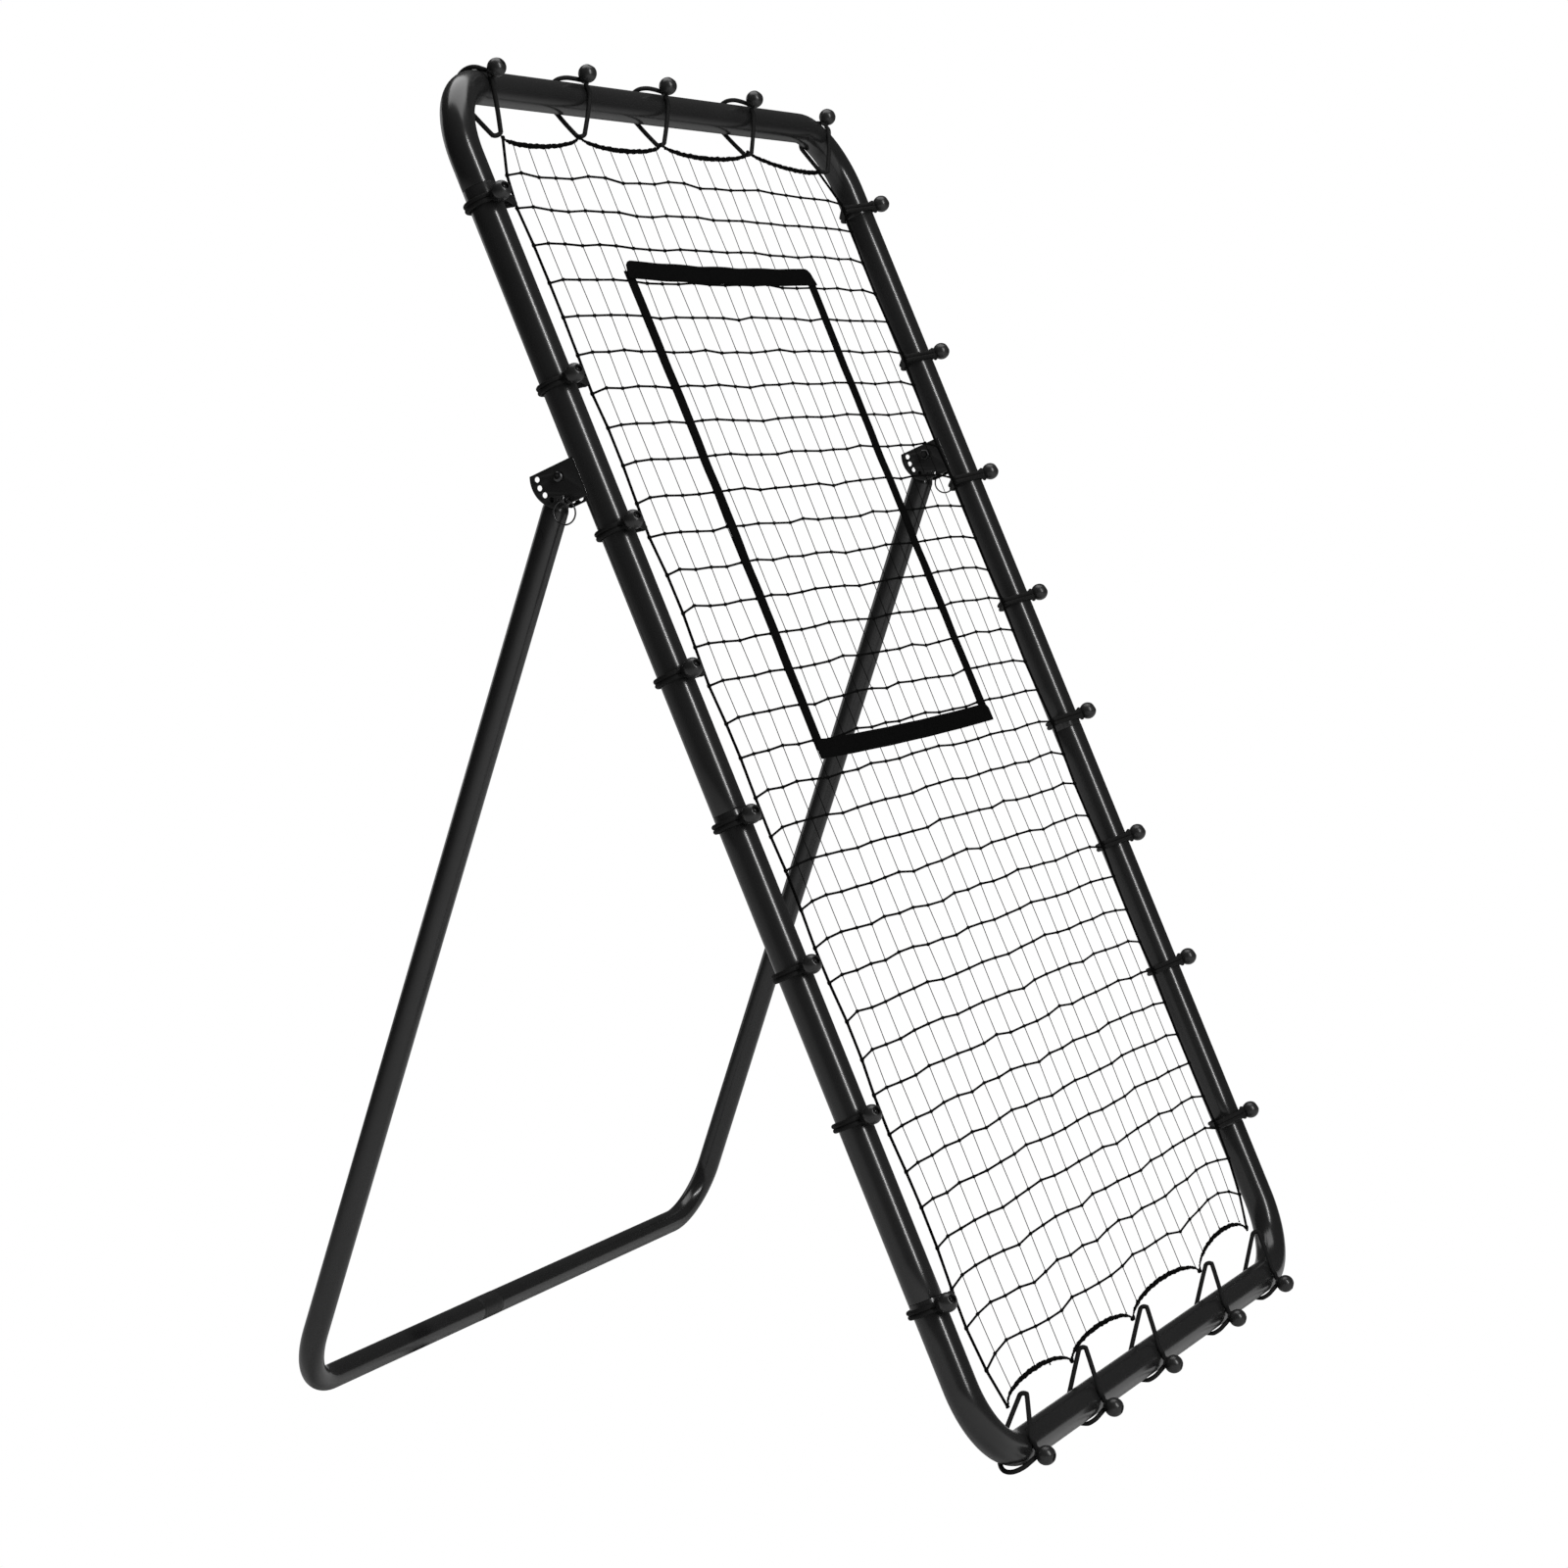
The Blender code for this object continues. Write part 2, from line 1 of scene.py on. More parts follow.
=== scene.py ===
"""The looks of the pitch back rebounder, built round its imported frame.

Lengths are in metres. Frame coordinates are (x, s, f): across, up the leaning frame from its
bottom rail's axis, and ahead of the rails' axes towards the player.
"""
import json
from math import acos, asin, atan2, cos, hypot, pi, radians, sin, tan

import bmesh
import bpy
import numpy as np
from mathutils import Matrix, Vector


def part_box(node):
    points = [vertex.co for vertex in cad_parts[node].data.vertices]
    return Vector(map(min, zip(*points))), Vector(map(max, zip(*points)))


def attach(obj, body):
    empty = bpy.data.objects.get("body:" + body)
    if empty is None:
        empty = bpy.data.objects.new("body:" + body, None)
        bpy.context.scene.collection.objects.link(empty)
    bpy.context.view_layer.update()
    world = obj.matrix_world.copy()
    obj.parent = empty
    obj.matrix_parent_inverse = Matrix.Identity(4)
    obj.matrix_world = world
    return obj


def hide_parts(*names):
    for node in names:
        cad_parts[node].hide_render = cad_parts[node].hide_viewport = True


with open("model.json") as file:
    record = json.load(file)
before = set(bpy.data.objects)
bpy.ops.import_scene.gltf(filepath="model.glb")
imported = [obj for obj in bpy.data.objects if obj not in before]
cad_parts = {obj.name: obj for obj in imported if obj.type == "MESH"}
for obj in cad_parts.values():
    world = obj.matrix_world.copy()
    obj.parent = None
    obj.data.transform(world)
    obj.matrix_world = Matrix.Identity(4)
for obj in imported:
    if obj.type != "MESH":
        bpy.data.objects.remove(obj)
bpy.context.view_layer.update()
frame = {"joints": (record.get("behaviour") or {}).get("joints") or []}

MM = 0.001

# ---- sizes, most of them shared with the frame ------------------------------------------
TUBE_R = 21 * MM
TUBE_WALL = 1.5 * MM
BEND_R = 100 * MM
SPIGOT = 32 * MM
SPIGOT_GAP = 0.35 * MM
LEG_R = 16 * MM
LEG_WALL = 1.4 * MM
LEG_END_R = 14 * MM
LEG_END = 34 * MM
TAPER = 9 * MM
STAND_BEND_R = 82 * MM
JOINT_HALF = 27 * MM
PIVOT_BACK = 36 * MM
PLATE_INNER = 16.5 * MM
PLATE = 2.5 * MM
PLATE_ABOVE = 15 * MM
PLATE_BELOW = 35 * MM
PLATE_R = 38.5 * MM
HOLE_CIRCLE = 29 * MM
HOLE_R = 3.5 * MM
HOLE_STEP = radians(21.2)
HOLES = range(-2, 4)
BOLT_R = 4 * MM
BOLT_HEAD_R = 6.4 * MM
BOLT_HEAD = 4.5 * MM
NUT_R = 7.5 * MM
NUT = 6.5 * MM
PIN_R = 3 * MM
PIN_NECK = 2 * MM
EYE_R = 5.5 * MM
EYE_HOLE_R = 2.4 * MM
EYE = 3 * MM
RING_R = 14.5 * MM
RING_WIRE_R = 1.05 * MM
SEAM_GAP = 0.3 * MM
CORD_R = 3.0 * MM
BALL_R = 12 * MM
BALL_OUT = 37.4 * MM
LEFT_HEIGHTS = [s * MM for s in (1611, 1375, 1187, 998, 812, 622, 433, 198)]
RIGHT_HEIGHTS = [s * MM for s in (1638, 1404, 1214, 1024, 838, 648, 455, 218)]
SIDE_BALL = radians(27)
BALL_TILT = radians(13)          # a side ball tips up the frame on its neck
BOTTOM_BALL = radians(31)
# Each end bungee: its place across, its hook's shift from there (both in mm), and the ball's angle.
TOP_PLACES = ((-494, -8, 14), (-223, -38, 37), (11, -36, 31), (289, -31, 27), (543, 0, 47))
BOTTOM_PLACES = ((-505, 50), (-262, 35), (-26, 38), (250, 40), (473, 35))
SIDE_REACH = 59 * MM
TOP_REACH = 56 * MM
TOP_CORNER_REACH = 67 * MM
BOTTOM_REACH = 60 * MM
TURN_R = 3.6 * MM
END_TURN_R = 4.6 * MM
NET_FRONT = 6 * MM
SEAMS = [s * MM for s in (209, 825, 1631)]

# ---- the frame's own places -------------------------------------------------------------
_bottom_low, _bottom_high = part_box("frame_bottom")
_top_low, _top_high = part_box("frame_top")
BOTTOM_AXIS = Vector((0, _bottom_low.y + TUBE_R, _bottom_low.z + TUBE_R))
TOP_AXIS = Vector((0, _top_high.y - TUBE_R, _top_high.z - TUBE_R))
LENGTH = (TOP_AXIS - BOTTOM_AXIS).length
LEAN = atan2(TOP_AXIS.y - BOTTOM_AXIS.y, TOP_AXIS.z - BOTTOM_AXIS.z)
HALF_WIDTH = _bottom_high.x - TUBE_R
_joint_low, _joint_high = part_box("stand_joint")
BAR_AXIS = Vector((0, (_joint_low.y + _joint_high.y) / 2, (_joint_low.z + _joint_high.z) / 2))
JOINT_AT = (_joint_low.x + _joint_high.x) / 2
PIVOT = Vector(next(j["pos_m"] for j in frame["joints"] if j["name"] == "stand_hinge"))
STAND_LEAN = atan2(BAR_AXIS.y - PIVOT.y, PIVOT.z - BAR_AXIS.z)
LEG_LENGTH = (PIVOT - BAR_AXIS).length
LEG_TO_RAIL = LEAN + STAND_LEAN


def axes(origin, u, v):
    """A matrix whose columns are u, v and their cross product."""
    u, v = Vector(u).normalized(), Vector(v).normalized()
    return Matrix.Translation(origin) @ Matrix((u, v, u.cross(v))).transposed().to_4x4()


ACROSS = Vector((1, 0, 0))
UP_FRAME = Vector((0, sin(LEAN), cos(LEAN)))
BACK = UP_FRAME.cross(ACROSS)
FRAME = axes(BOTTOM_AXIS, ACROSS, UP_FRAME)
STAND = axes(BAR_AXIS, ACROSS, (0, -sin(STAND_LEAN), cos(STAND_LEAN)))


# ---- camera, light and floor ------------------------------------------------------------
CAMERA_AT = (-4.94043, -2.08026, 1.32482)
CAMERA_AZIMUTH = -66.4113
CAMERA_ELEVATION = 6.1238
CAMERA_ROLL = 0.2133
CAMERA_LENS = 93.38


def make_camera():
    """The camera, placed and turned as its values above say."""
    data = bpy.data.cameras.new("camera")
    data.lens = CAMERA_LENS
    data.sensor_width = 36
    camera = bpy.data.objects.new("camera", data)
    bpy.context.scene.collection.objects.link(camera)
    camera.location = CAMERA_AT
    turn = Matrix.Rotation(radians(CAMERA_AZIMUTH), 3, "Z")
    turn = turn @ Matrix.Rotation(pi / 2 - radians(CAMERA_ELEVATION), 3, "X")
    turn = turn @ Matrix.Rotation(radians(CAMERA_ROLL), 3, "Z")
    camera.rotation_euler = turn.to_euler()
    bpy.context.scene.camera = camera


def make_area(name, at, towards, along, size, power):
    """An area light at one point that faces another, with its height along a direction."""
    data = bpy.data.lights.new(name, "AREA")
    data.shape = "RECTANGLE"
    data.size, data.size_y = size
    data.energy = power
    light = bpy.data.objects.new(name, data)
    bpy.context.scene.collection.objects.link(light)
    back = (Vector(at) - Vector(towards)).normalized()
    up = (Vector(along) - back * back.dot(Vector(along))).normalized()
    light.matrix_world = axes(at, up.cross(back), up)
    light.visible_camera = False


def show_camera(tree, lit, seen, surface):
    """Show one shader to the camera, and light everything else with another."""
    path = tree.nodes.new("ShaderNodeLightPath")
    mix = tree.nodes.new("ShaderNodeMixShader")
    tree.links.new(path.outputs["Is Camera Ray"], mix.inputs["Fac"])
    tree.links.new(lit.outputs[0], mix.inputs[1])
    tree.links.new(seen.outputs[0], mix.inputs[2])
    tree.links.new(mix.outputs[0], surface)


def pale_floor():
    """A pale floor that the camera sees evenly lit out to its far edge."""
    pale = bpy.data.materials.new("pale_floor")
    pale.use_nodes = True
    nodes = pale.node_tree.nodes
    shader = nodes["Principled BSDF"]
    shader.inputs["Base Color"].default_value = (0.8, 0.8, 0.8, 1)
    shader.inputs["Roughness"].default_value = 1.0
    shader.inputs["Specular IOR Level"].default_value = 0.0
    lamp = nodes.new("ShaderNodeEmission")
    show_camera(pale.node_tree, shader, lamp, nodes["Material Output"].inputs["Surface"])
    return pale


def make_world():
    """A white surround to the camera, and a dim one to everything else."""
    world = bpy.data.worlds.new("studio")
    bpy.context.scene.world = world
    world.use_nodes = True
    nodes = world.node_tree.nodes
    nodes.clear()
    output = nodes.new("ShaderNodeOutputWorld")
    seen = nodes.new("ShaderNodeBackground")
    seen.inputs["Color"].default_value = (1, 1, 1, 1)
    lit = nodes.new("ShaderNodeBackground")
    lit.inputs["Color"].default_value = (1, 1, 1, 1)
    lit.inputs["Strength"].default_value = 0.05
    show_camera(world.node_tree, lit, seen, output.inputs["Surface"])


def make_studio():
    """A narrow strip that draws the bright streak down the tubes, two soft lamps and a floor."""
    bpy.context.scene.view_settings.view_transform = "Standard"
    make_world()
    middle = Vector((0, 0, 0.85))
    streak = Vector((-0.41, -0.78, 0.45)).normalized()
    make_area("key_strip", middle + streak * 6 + UP_FRAME * 0.3, middle, UP_FRAME, (0.13, 5.0), 240)
    make_area("overhead", (0.4, 0.6, 4.6), (0, 0, 0.6), (1, 0, 0), (4.0, 3.0), 105)
    make_area("back_fill", (1.6, 4.6, 1.6), (0, 0, 0.8), (0, 0, 1), (2.4, 2.4), 14)
    mesh = bpy.data.meshes.new("floor")
    half = 30
    corners = [(-half, -half, 0), (half, -half, 0), (half, half, 0), (-half, half, 0)]
    mesh.from_pydata(corners, [], [(0, 1, 2, 3)])
    floor = bpy.data.objects.new("floor", mesh)
    bpy.context.scene.collection.objects.link(floor)
    mesh.materials.append(pale_floor())


# ---- materials --------------------------------------------------------------------------
class Surface:
    """A Principled material and short ways to add noise, weave and bump to it."""

    def __init__(self, name, colour, roughness, metallic=0.0, specular=0.5):
        self.material = bpy.data.materials.new(name)
        self.material.use_nodes = True
        self.tree = self.material.node_tree
        self.shader = self.tree.nodes["Principled BSDF"]
        self.set(self.shader, "Base Color", (*colour, 1))
        self.set(self.shader, "Roughness", roughness)
        self.set(self.shader, "Metallic", metallic)
        self.set(self.shader, "Specular IOR Level", specular)
        self.place = self.tree.nodes.new("ShaderNodeTexCoord")
        self.height = None

    def set(self, node, socket, value):
        node.inputs[socket].default_value = value

    def link(self, output, node, socket):
        self.tree.links.new(output, node.inputs[socket])

    def noise(self, scale, detail=2.0):
        node = self.tree.nodes.new("ShaderNodeTexNoise")
        self.set(node, "Scale", scale)
        self.set(node, "Detail", detail)
        self.link(self.place.outputs["Object"], node, "Vector")
        return node.outputs["Fac"]

    def math(self, operation, *values):
        node = self.tree.nodes.new("ShaderNodeMath")
        node.operation = operation
        for i, value in enumerate(values):
            if isinstance(value, (int, float)):
                node.inputs[i].default_value = value
            else:
                self.tree.links.new(value, node.inputs[i])
        return node.outputs[0]

    def colours(self, factor, *stops):
        """Colour by a factor, from (place, colour) stops."""
        node = self.tree.nodes.new("ShaderNodeValToRGB")
        ramp = node.color_ramp
        while len(ramp.elements) < len(stops):
            ramp.elements.new(0.5)
        for element, (at, colour) in zip(ramp.elements, stops):
            element.position = at
            element.color = (*colour, 1)
        self.link(factor, node, "Fac")
        self.link(node.outputs["Color"], self.shader, "Base Color")

    def roughness(self, factor, low, high):
        """Roughness from low to high as the factor goes through a noise's middle range."""
        node = self.tree.nodes.new("ShaderNodeMapRange")
        for socket, value in (("From Min", 0.3), ("From Max", 0.7), ("To Min", low), ("To Max", high)):
            self.set(node, socket, value)
        self.link(factor, node, "Value")
        self.link(node.outputs["Result"], self.shader, "Roughness")

    def bump(self, height, strength, distance):
        node = self.tree.nodes.new("ShaderNodeBump")
        self.set(node, "Strength", strength)
        self.set(node, "Distance", distance)
        self.link(height, node, "Height")
        if self.height:
            self.link(self.height, node, "Normal")
        self.height = node.outputs["Normal"]
        self.link(self.height, self.shader, "Normal")

    def uv(self):
        """The around (0 to 1) and along (metres) of a swept piece."""
        node = self.tree.nodes.new("ShaderNodeSeparateXYZ")
        self.link(self.place.outputs["UV"], node, "Vector")
        return node.outputs["X"], node.outputs["Y"]


def powder_coat():
    """Satin black powder coat: fine orange peel, and a faint tone and sheen variation."""
    made = Surface("powder_coat", (0.012, 0.012, 0.012), 0.3, specular=0.5)
    broad = made.noise(7, 3)
    made.colours(broad, (0.3, (0.0128, 0.0128, 0.0128)), (0.7, (0.0160, 0.0160, 0.0161)))
    made.roughness(made.noise(18, 3), 0.205, 0.235)
    made.bump(made.noise(420, 2), 0.012, 0.0002)
    made.bump(made.noise(2600, 1), 0.02, 0.00002)
    return made.material


def hardware_finish():
    """Black oxide steel: darker, metallic, finely brushed and a little uneven."""
    made = Surface("black_oxide", (0.06, 0.06, 0.062), 0.32, metallic=1.0)
    made.colours(made.noise(300, 4), (0.3, (0.045, 0.045, 0.047)), (0.7, (0.10, 0.10, 0.10)))
    made.roughness(made.noise(900, 3), 0.25, 0.42)
    made.bump(made.noise(1800, 2), 0.12, 0.0001)
    return made.material


def ball_plastic():
    """Moulded black plastic: soft sheen, fine mould grain and slight flow marks."""
    made = Surface("ball_plastic", (0.02, 0.02, 0.02), 0.3, specular=0.45)
    made.colours(made.noise(60, 3), (0.3, (0.017, 0.017, 0.017)), (0.7, (0.021, 0.021, 0.021)))
    made.roughness(made.noise(260, 3), 0.27, 0.34)
    made.bump(made.noise(1400, 2), 0.06, 0.0001)
    return made.material


def joint_plastic():
    """Dull moulded plastic of the stand's collar."""
    made = Surface("joint_plastic", (0.01, 0.01, 0.01), 0.5, specular=0.4)
    made.colours(made.noise(60, 3), (0.3, (0.007, 0.007, 0.007)), (0.7, (0.012, 0.012, 0.012)))
    made.roughness(made.noise(400, 3), 0.45, 0.6)
    made.bump(made.noise(1700, 2), 0.3, 0.0001)
    return made.material


def braid(name, colour, carriers, pitch, radius, strength):
    """Braided cord: two sets of yarns spiral opposite ways, over and under each other, with painted shade
    in the grooves between yarns and a painted highlight on their crowns.
    """
    made = Surface(name, colour, 0.7, specular=0.15)
    around, along = made.uv()
    turns = made.math("MULTIPLY", around, 2 * pi * carriers)
    climb = made.math("MULTIPLY", along, 2 * pi / pitch)
    left = made.math("SINE", made.math("ADD", turns, climb))
    right = made.math("SINE", made.math("SUBTRACT", turns, climb))
    weave = made.math("MULTIPLY", left, right)
    yarns = made.math("ABSOLUTE", weave)
    # Painted shade and highlight: the colour darkens in the grooves between yarns and lightens on their
    # crowns, following the same height as the bump.
    light = [c * 1.25 for c in colour]
    painted_groove_shade = [c * 0.6 for c in colour]
    made.colours(yarns, (0.02, painted_groove_shade), (0.5, colour), (1.0, light))
    made.bump(yarns, strength, radius * 0.12)
    made.bump(made.noise(3000, 2), 0.25, 0.0001)
    return made.material


def twine(name, colour, strands, pitch, radius):
    """Twisted cord: strands spiral one way, with fuzzy fibres, painted shade between the strands and a
    painted highlight on them.
    """
    made = Surface(name, colour, 0.85, specular=0.05)
    around, along = made.uv()
    turns = made.math("MULTIPLY", around, 2 * pi * strands)
    climb = made.math("MULTIPLY", along, 2 * pi / pitch)
    lay = made.math("SINE", made.math("ADD", turns, climb))
    # Painted shade and highlight: darker in the grooves between strands and lighter on their crowns,
    # following the bump's height.
    made.colours(made.math("MULTIPLY_ADD", lay, 0.5, 0.5),
                 (0.1, [c * 0.4 for c in colour]), (0.8, [c * 1.5 for c in colour]))
    made.bump(lay, 0.7, radius * 0.3)
    made.bump(made.noise(2500, 3), 0.4, 0.0002)
    return made.material


def webbing_weave():
    """Woven polyester webbing: ribs across its width, fine warp lines along it, with painted shade in the
    weave's hollows and a painted highlight on its crowns.
    """
    made = Surface("webbing", (0.002, 0.002, 0.002), 0.9, specular=0.05)
    across, along = made.uv()
    warp = made.math("SINE", made.math("MULTIPLY", across, 2 * pi / 0.0016))
    weft = made.math("SINE", made.math("MULTIPLY", along, 2 * pi / 0.0013))
    weave = made.math("MULTIPLY", warp, weft)
    # Painted shade and highlight: darker where the weave dips and lighter where it rises, following the
    # bump's height.
    made.colours(made.math("MULTIPLY_ADD", weave, 0.5, 0.5),
                 (0.1, (0.0006, 0.0006, 0.0006)), (0.9, (0.0026, 0.0026, 0.0026)))
    made.bump(weave, 0.6, 0.0003)
    made.bump(made.noise(90, 3), 0.3, 0.0006)
    return made.material


# ---- mesh helpers -----------------------------------------------------------------------
class Shape:
    """Vertices, faces and UVs gathered from several sweeps, then made into one object."""

    def __init__(self):
        self.points, self.faces, self.uvs = [], [], []

    def add(self, points, faces, uvs):
        base = len(self.points)
        self.points.extend(points)
        self.faces.extend([tuple(base + i for i in face) for face in faces])
        self.uvs.extend(uvs)

    def made(self, name, material, body, replaced=(), slot=None, sharp=35):
        mesh = bpy.data.meshes.new(name)
        mesh.from_pydata([tuple(p) for p in self.points], [], self.faces)
        layer = mesh.uv_layers.new(name="around_along")
        flat = [value for face in self.uvs for pair in face for value in pair]
        layer.data.foreach_set("uv", flat)
        bm = bmesh.new()
        bm.from_mesh(mesh)
        bmesh.ops.recalc_face_normals(bm, faces=bm.faces)
        bm.to_mesh(mesh)
        bm.free()
        return add_piece(name, mesh, material, body, replaced, sharp)


def add_piece(name, mesh, material, body, replaced, sharp):
    mesh.shade_smooth()
    mesh.set_sharp_from_angle(angle=radians(sharp))
    mesh.materials.clear()
    mesh.materials.append(material)
    piece = bpy.data.objects.new(name, mesh)
    bpy.context.scene.collection.objects.link(piece)
    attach(piece, body)
    if replaced:
        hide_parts(*replaced)
    return piece


def wrap(count, sides, along, closed=False, around=None):
    """Faces and UVs that join rings of points, one ring for each place along."""
    around = around or [j / sides for j in range(sides + 1)]
    faces, uvs = [], []
    for i in range(count if closed else count - 1):
        low, high = i * sides, ((i + 1) % count) * sides
        for j in range(sides):
            k = (j + 1) % sides
            faces.append((low + j, low + k, high + k, high + j))
            u0, u1 = around[j], around[j + 1]
            uvs.append(((u0, along[i]), (u1, along[i]), (u1, along[i + 1]), (u0, along[i + 1])))
    return faces, uvs


def end_faces(count, sides):
    """The flat faces that close the first and the last ring."""
    return [tuple(range(base, base + sides)) for base in (0, (count - 1) * sides)]


def unit(vectors):
    return vectors / np.maximum(np.linalg.norm(vectors, axis=-1, keepdims=True), 1e-12)


def path_frames(path, closed, normal=None):
    """Directions along a path, and a normal carried along it without twist."""
    if closed:
        ahead = unit(np.roll(path, -1, 0) - np.roll(path, 1, 0))
    else:
        ahead = unit(np.gradient(path, axis=0))
    start = np.array(normal if normal is not None else (0.0, 0.0, 1.0), float)
    if normal is None and abs(ahead[0] @ start) > 0.9:
        start = np.array((1.0, 0.0, 0.0))
    normals = []
    for direction in ahead:
        start = start - direction * (start @ direction)
        start = start / np.linalg.norm(start)
        normals.append(start)
    normals = np.array(normals)
    if closed:
        last = normals[-1] - ahead[0] * (normals[-1] @ ahead[0])
        twist = atan2(np.cross(last, normals[0]) @ ahead[0], last @ normals[0])
        turn = np.linspace(0, twist, len(path), endpoint=False)[:, None]
        normals = normals * np.cos(turn) + np.cross(ahead, normals) * np.sin(turn)
    return ahead, normals


def sweep(shape, path, radius, sides, closed=False, normal=None):
    """A round cord or tube along a path. Radius is one number or one for each point."""
    path = np.array(path, float)
    count = len(path)
    ahead, normals = path_frames(path, closed, normal)
    sideways = np.cross(ahead, normals)
    radius = np.broadcast_to(np.asarray(radius, float), (count,))
    turn = np.arange(sides) * 2 * pi / sides
    ring = (normals[:, None] * np.cos(turn)[None, :, None]
            + sideways[:, None] * np.sin(turn)[None, :, None])
    points = (path[:, None] + ring * radius[:, None, None]).reshape(-1, 3)
    steps = np.linalg.norm(np.diff(path, axis=0), axis=1)
    along = np.concatenate([[0], np.cumsum(steps)])
    if closed:
        along = np.append(along, along[-1] + np.linalg.norm(path[0] - path[-1]))
    faces, uvs = wrap(count, sides, along, closed)
    if not closed:
        faces += end_faces(count, sides)
        uvs += [tuple((j / sides, at) for j in range(sides)) for at in (along[0], along[-1])]
    shape.add(points, faces, uvs)


def turned(profile, place, sides):
    """Rings of points round the place's z axis, from a profile of (radius, height)."""
    points = []
    for radius, height in profile:
        for j in range(sides):
            angle = 2 * pi * j / sides
            points.append(place @ Vector((radius * cos(angle), radius * sin(angle), height)))
    return points


def lathe(shape, profile, place, sides):
    """Turn an open profile into a solid whose two ends are flat."""
    faces, uvs = wrap(len(profile), sides, [height for radius, height in profile])
    faces += end_faces(len(profile), sides)
    uvs += [tuple((0.5 + 0.5 * cos(2 * pi * j / sides), 0.0) for j in range(sides))] * 2
    shape.add(turned(profile, place, sides), faces, uvs)


def smooth_path(points, steps):
    """A Catmull-Rom curve through the points."""
    points = np.array(points, float)
    count = len(points)
    out = []
    for i in range(count - 1):
        b, c = points[i], points[i + 1]
        a = points[i - 1] if i > 0 else 2 * b - c
        d = points[i + 2] if i + 2 < count else 2 * c - b
        for t in np.arange(steps) / steps:
            out.append(0.5 * (2 * b + (c - a) * t + (2 * a - 5 * b + 4 * c - d) * t * t
                              + (3 * b - a - 3 * c + d) * t ** 3))
    out.append(points[-1])
    return np.array(out)


def arc(x, y, start, end, radius, steps):
    """Points round an arc in a plane, without its first point."""
    angles = [start + (end - start) * i / steps for i in range(1, steps + 1)]
    return [(x + radius * cos(a), y + radius * sin(a)) for a in angles]


def in_plane(place, points):
    """Points of a plane's (x, y), in the scene."""
    return [place @ Vector((x, y, 0)) for x, y in points]


# ---- steel tubes ------------------------------------------------------------------------
TUBE_SIDES = 48
BEND_STEPS = 28


def tube_shell(shape, path, radius, wall, normal, lip=0.5 * MM):
    """A tube with its bore open at both ends, and each end's corners slightly rounded."""
    path = np.array(path, float)
    first = unit(path[0] - path[1])
    last = unit(path[-1] - path[-2])
    trimmed = path.copy()
    trimmed[0] -= first * lip
    trimmed[-1] -= last * lip
    bore = trimmed[::-1]
    loop = [path[0] - first * lip * 0.3, *trimmed, path[-1] - last * lip * 0.3, path[-1], path[-1],
            *bore, path[0], path[0]]
    inner = radius - wall
    radii = ([radius - lip * 0.3] + [radius] * len(trimmed)
             + [radius - lip * 0.3, radius - lip, inner + lip * 0.5]
             + [inner] * len(bore) + [inner + lip * 0.5, radius - lip])
    rings(shape, loop, radii, normal, len(path))


def rings(shape, centres, radii, normal, count):
    """Close a skin and a bore into one solid, ring by ring. The skin's path has count points."""
    centres = np.array(centres, float)
    normal = np.array(normal, float)
    directions = unit(np.gradient(centres[1:count + 1], axis=0))
    across = unit(np.cross(directions, normal))
    sideways = [across[0]] + list(across) + [across[-1]] * 3 + list(across[::-1]) + [across[0]] * 2
    turn = np.arange(TUBE_SIDES) * 2 * pi / TUBE_SIDES
    points = []
    for centre, side, radius in zip(centres, sideways, radii):
        points.extend(centre + (side * cos(a) + normal * sin(a)) * radius for a in turn)
    along = np.concatenate([[0], np.cumsum(np.linalg.norm(np.diff(centres, axis=0), axis=1))])
    faces, uvs = wrap(len(centres), TUBE_SIDES, np.append(along, along[-1]), closed=True)
    shape.add(points, faces, uvs)


def spigot(shape, base, tip, radius, wall):
    """A reduced tube end that pushes into the next tube."""
    path = [base + (tip - base) * t for t in (0, 0.5, 1)]
    side = (tip - base).normalized().orthogonal().normalized()
    tube_shell(shape, path, radius, wall, side)


def make_frame_tubes(coat):
    """Six tubes with push joints. The narrow lines where they meet stay open by a hair."""
    normal = FRAME.to_3x3() @ Vector((0, 0, 1))
    corner_x = HALF_WIDTH - BEND_R
    half_gap = SEAM_GAP / 2
    low, middle, high = SEAMS
    spigot_r = TUBE_R - TUBE_WALL - SPIGOT_GAP

    def bow(name, seam, end, sign):
        corner = end - sign * BEND_R
        points = [(-HALF_WIDTH, seam), (-HALF_WIDTH, (seam + corner) / 2), (-HALF_WIDTH, corner)]
        points += arc(-corner_x, corner, pi, pi - sign * pi / 2, BEND_R, BEND_STEPS)
        points += [(x, end) for x in np.linspace(-corner_x, corner_x, 12)[1:]]
        points += arc(corner_x, corner, sign * pi / 2, 0, BEND_R, BEND_STEPS)
        points += [(HALF_WIDTH, (seam + corner) / 2), (HALF_WIDTH, seam)]
        shape = Shape()
        tube_shell(shape, in_plane(FRAME, points), TUBE_R, TUBE_WALL, normal)
        shape.made(name, coat, "frame", [name.replace("_tube", "")], "powder_coat")

    bow("frame_top_tube", high + half_gap, LENGTH, 1)
    bow("frame_bottom_tube", low - half_gap, 0, -1)
    for side, word in ((-1, "left"), (1, "right")):
        x = side * HALF_WIDTH
        for part, start, end, ends in (("upper", middle, high, (1,)), ("lower", low, middle, (-1, 1))):
            shape = Shape()
            heights = np.linspace(start + half_gap, end - half_gap, 14)
            points = in_plane(FRAME, [(x, s) for s in heights])
            tube_shell(shape, points, TUBE_R, TUBE_WALL, normal)
            for way in ends:
                base = end - TAPER if way > 0 else start + TAPER
                tip = end + SPIGOT if way > 0 else start - SPIGOT
                spigot(shape, FRAME @ Vector((x, base, 0)), FRAME @ Vector((x, tip, 0)),
                       spigot_r, TUBE_WALL)
            node = f"rail_{part}_{word}"
            shape.made(f"{node}_tube", coat, "frame", [node], "powder_coat")


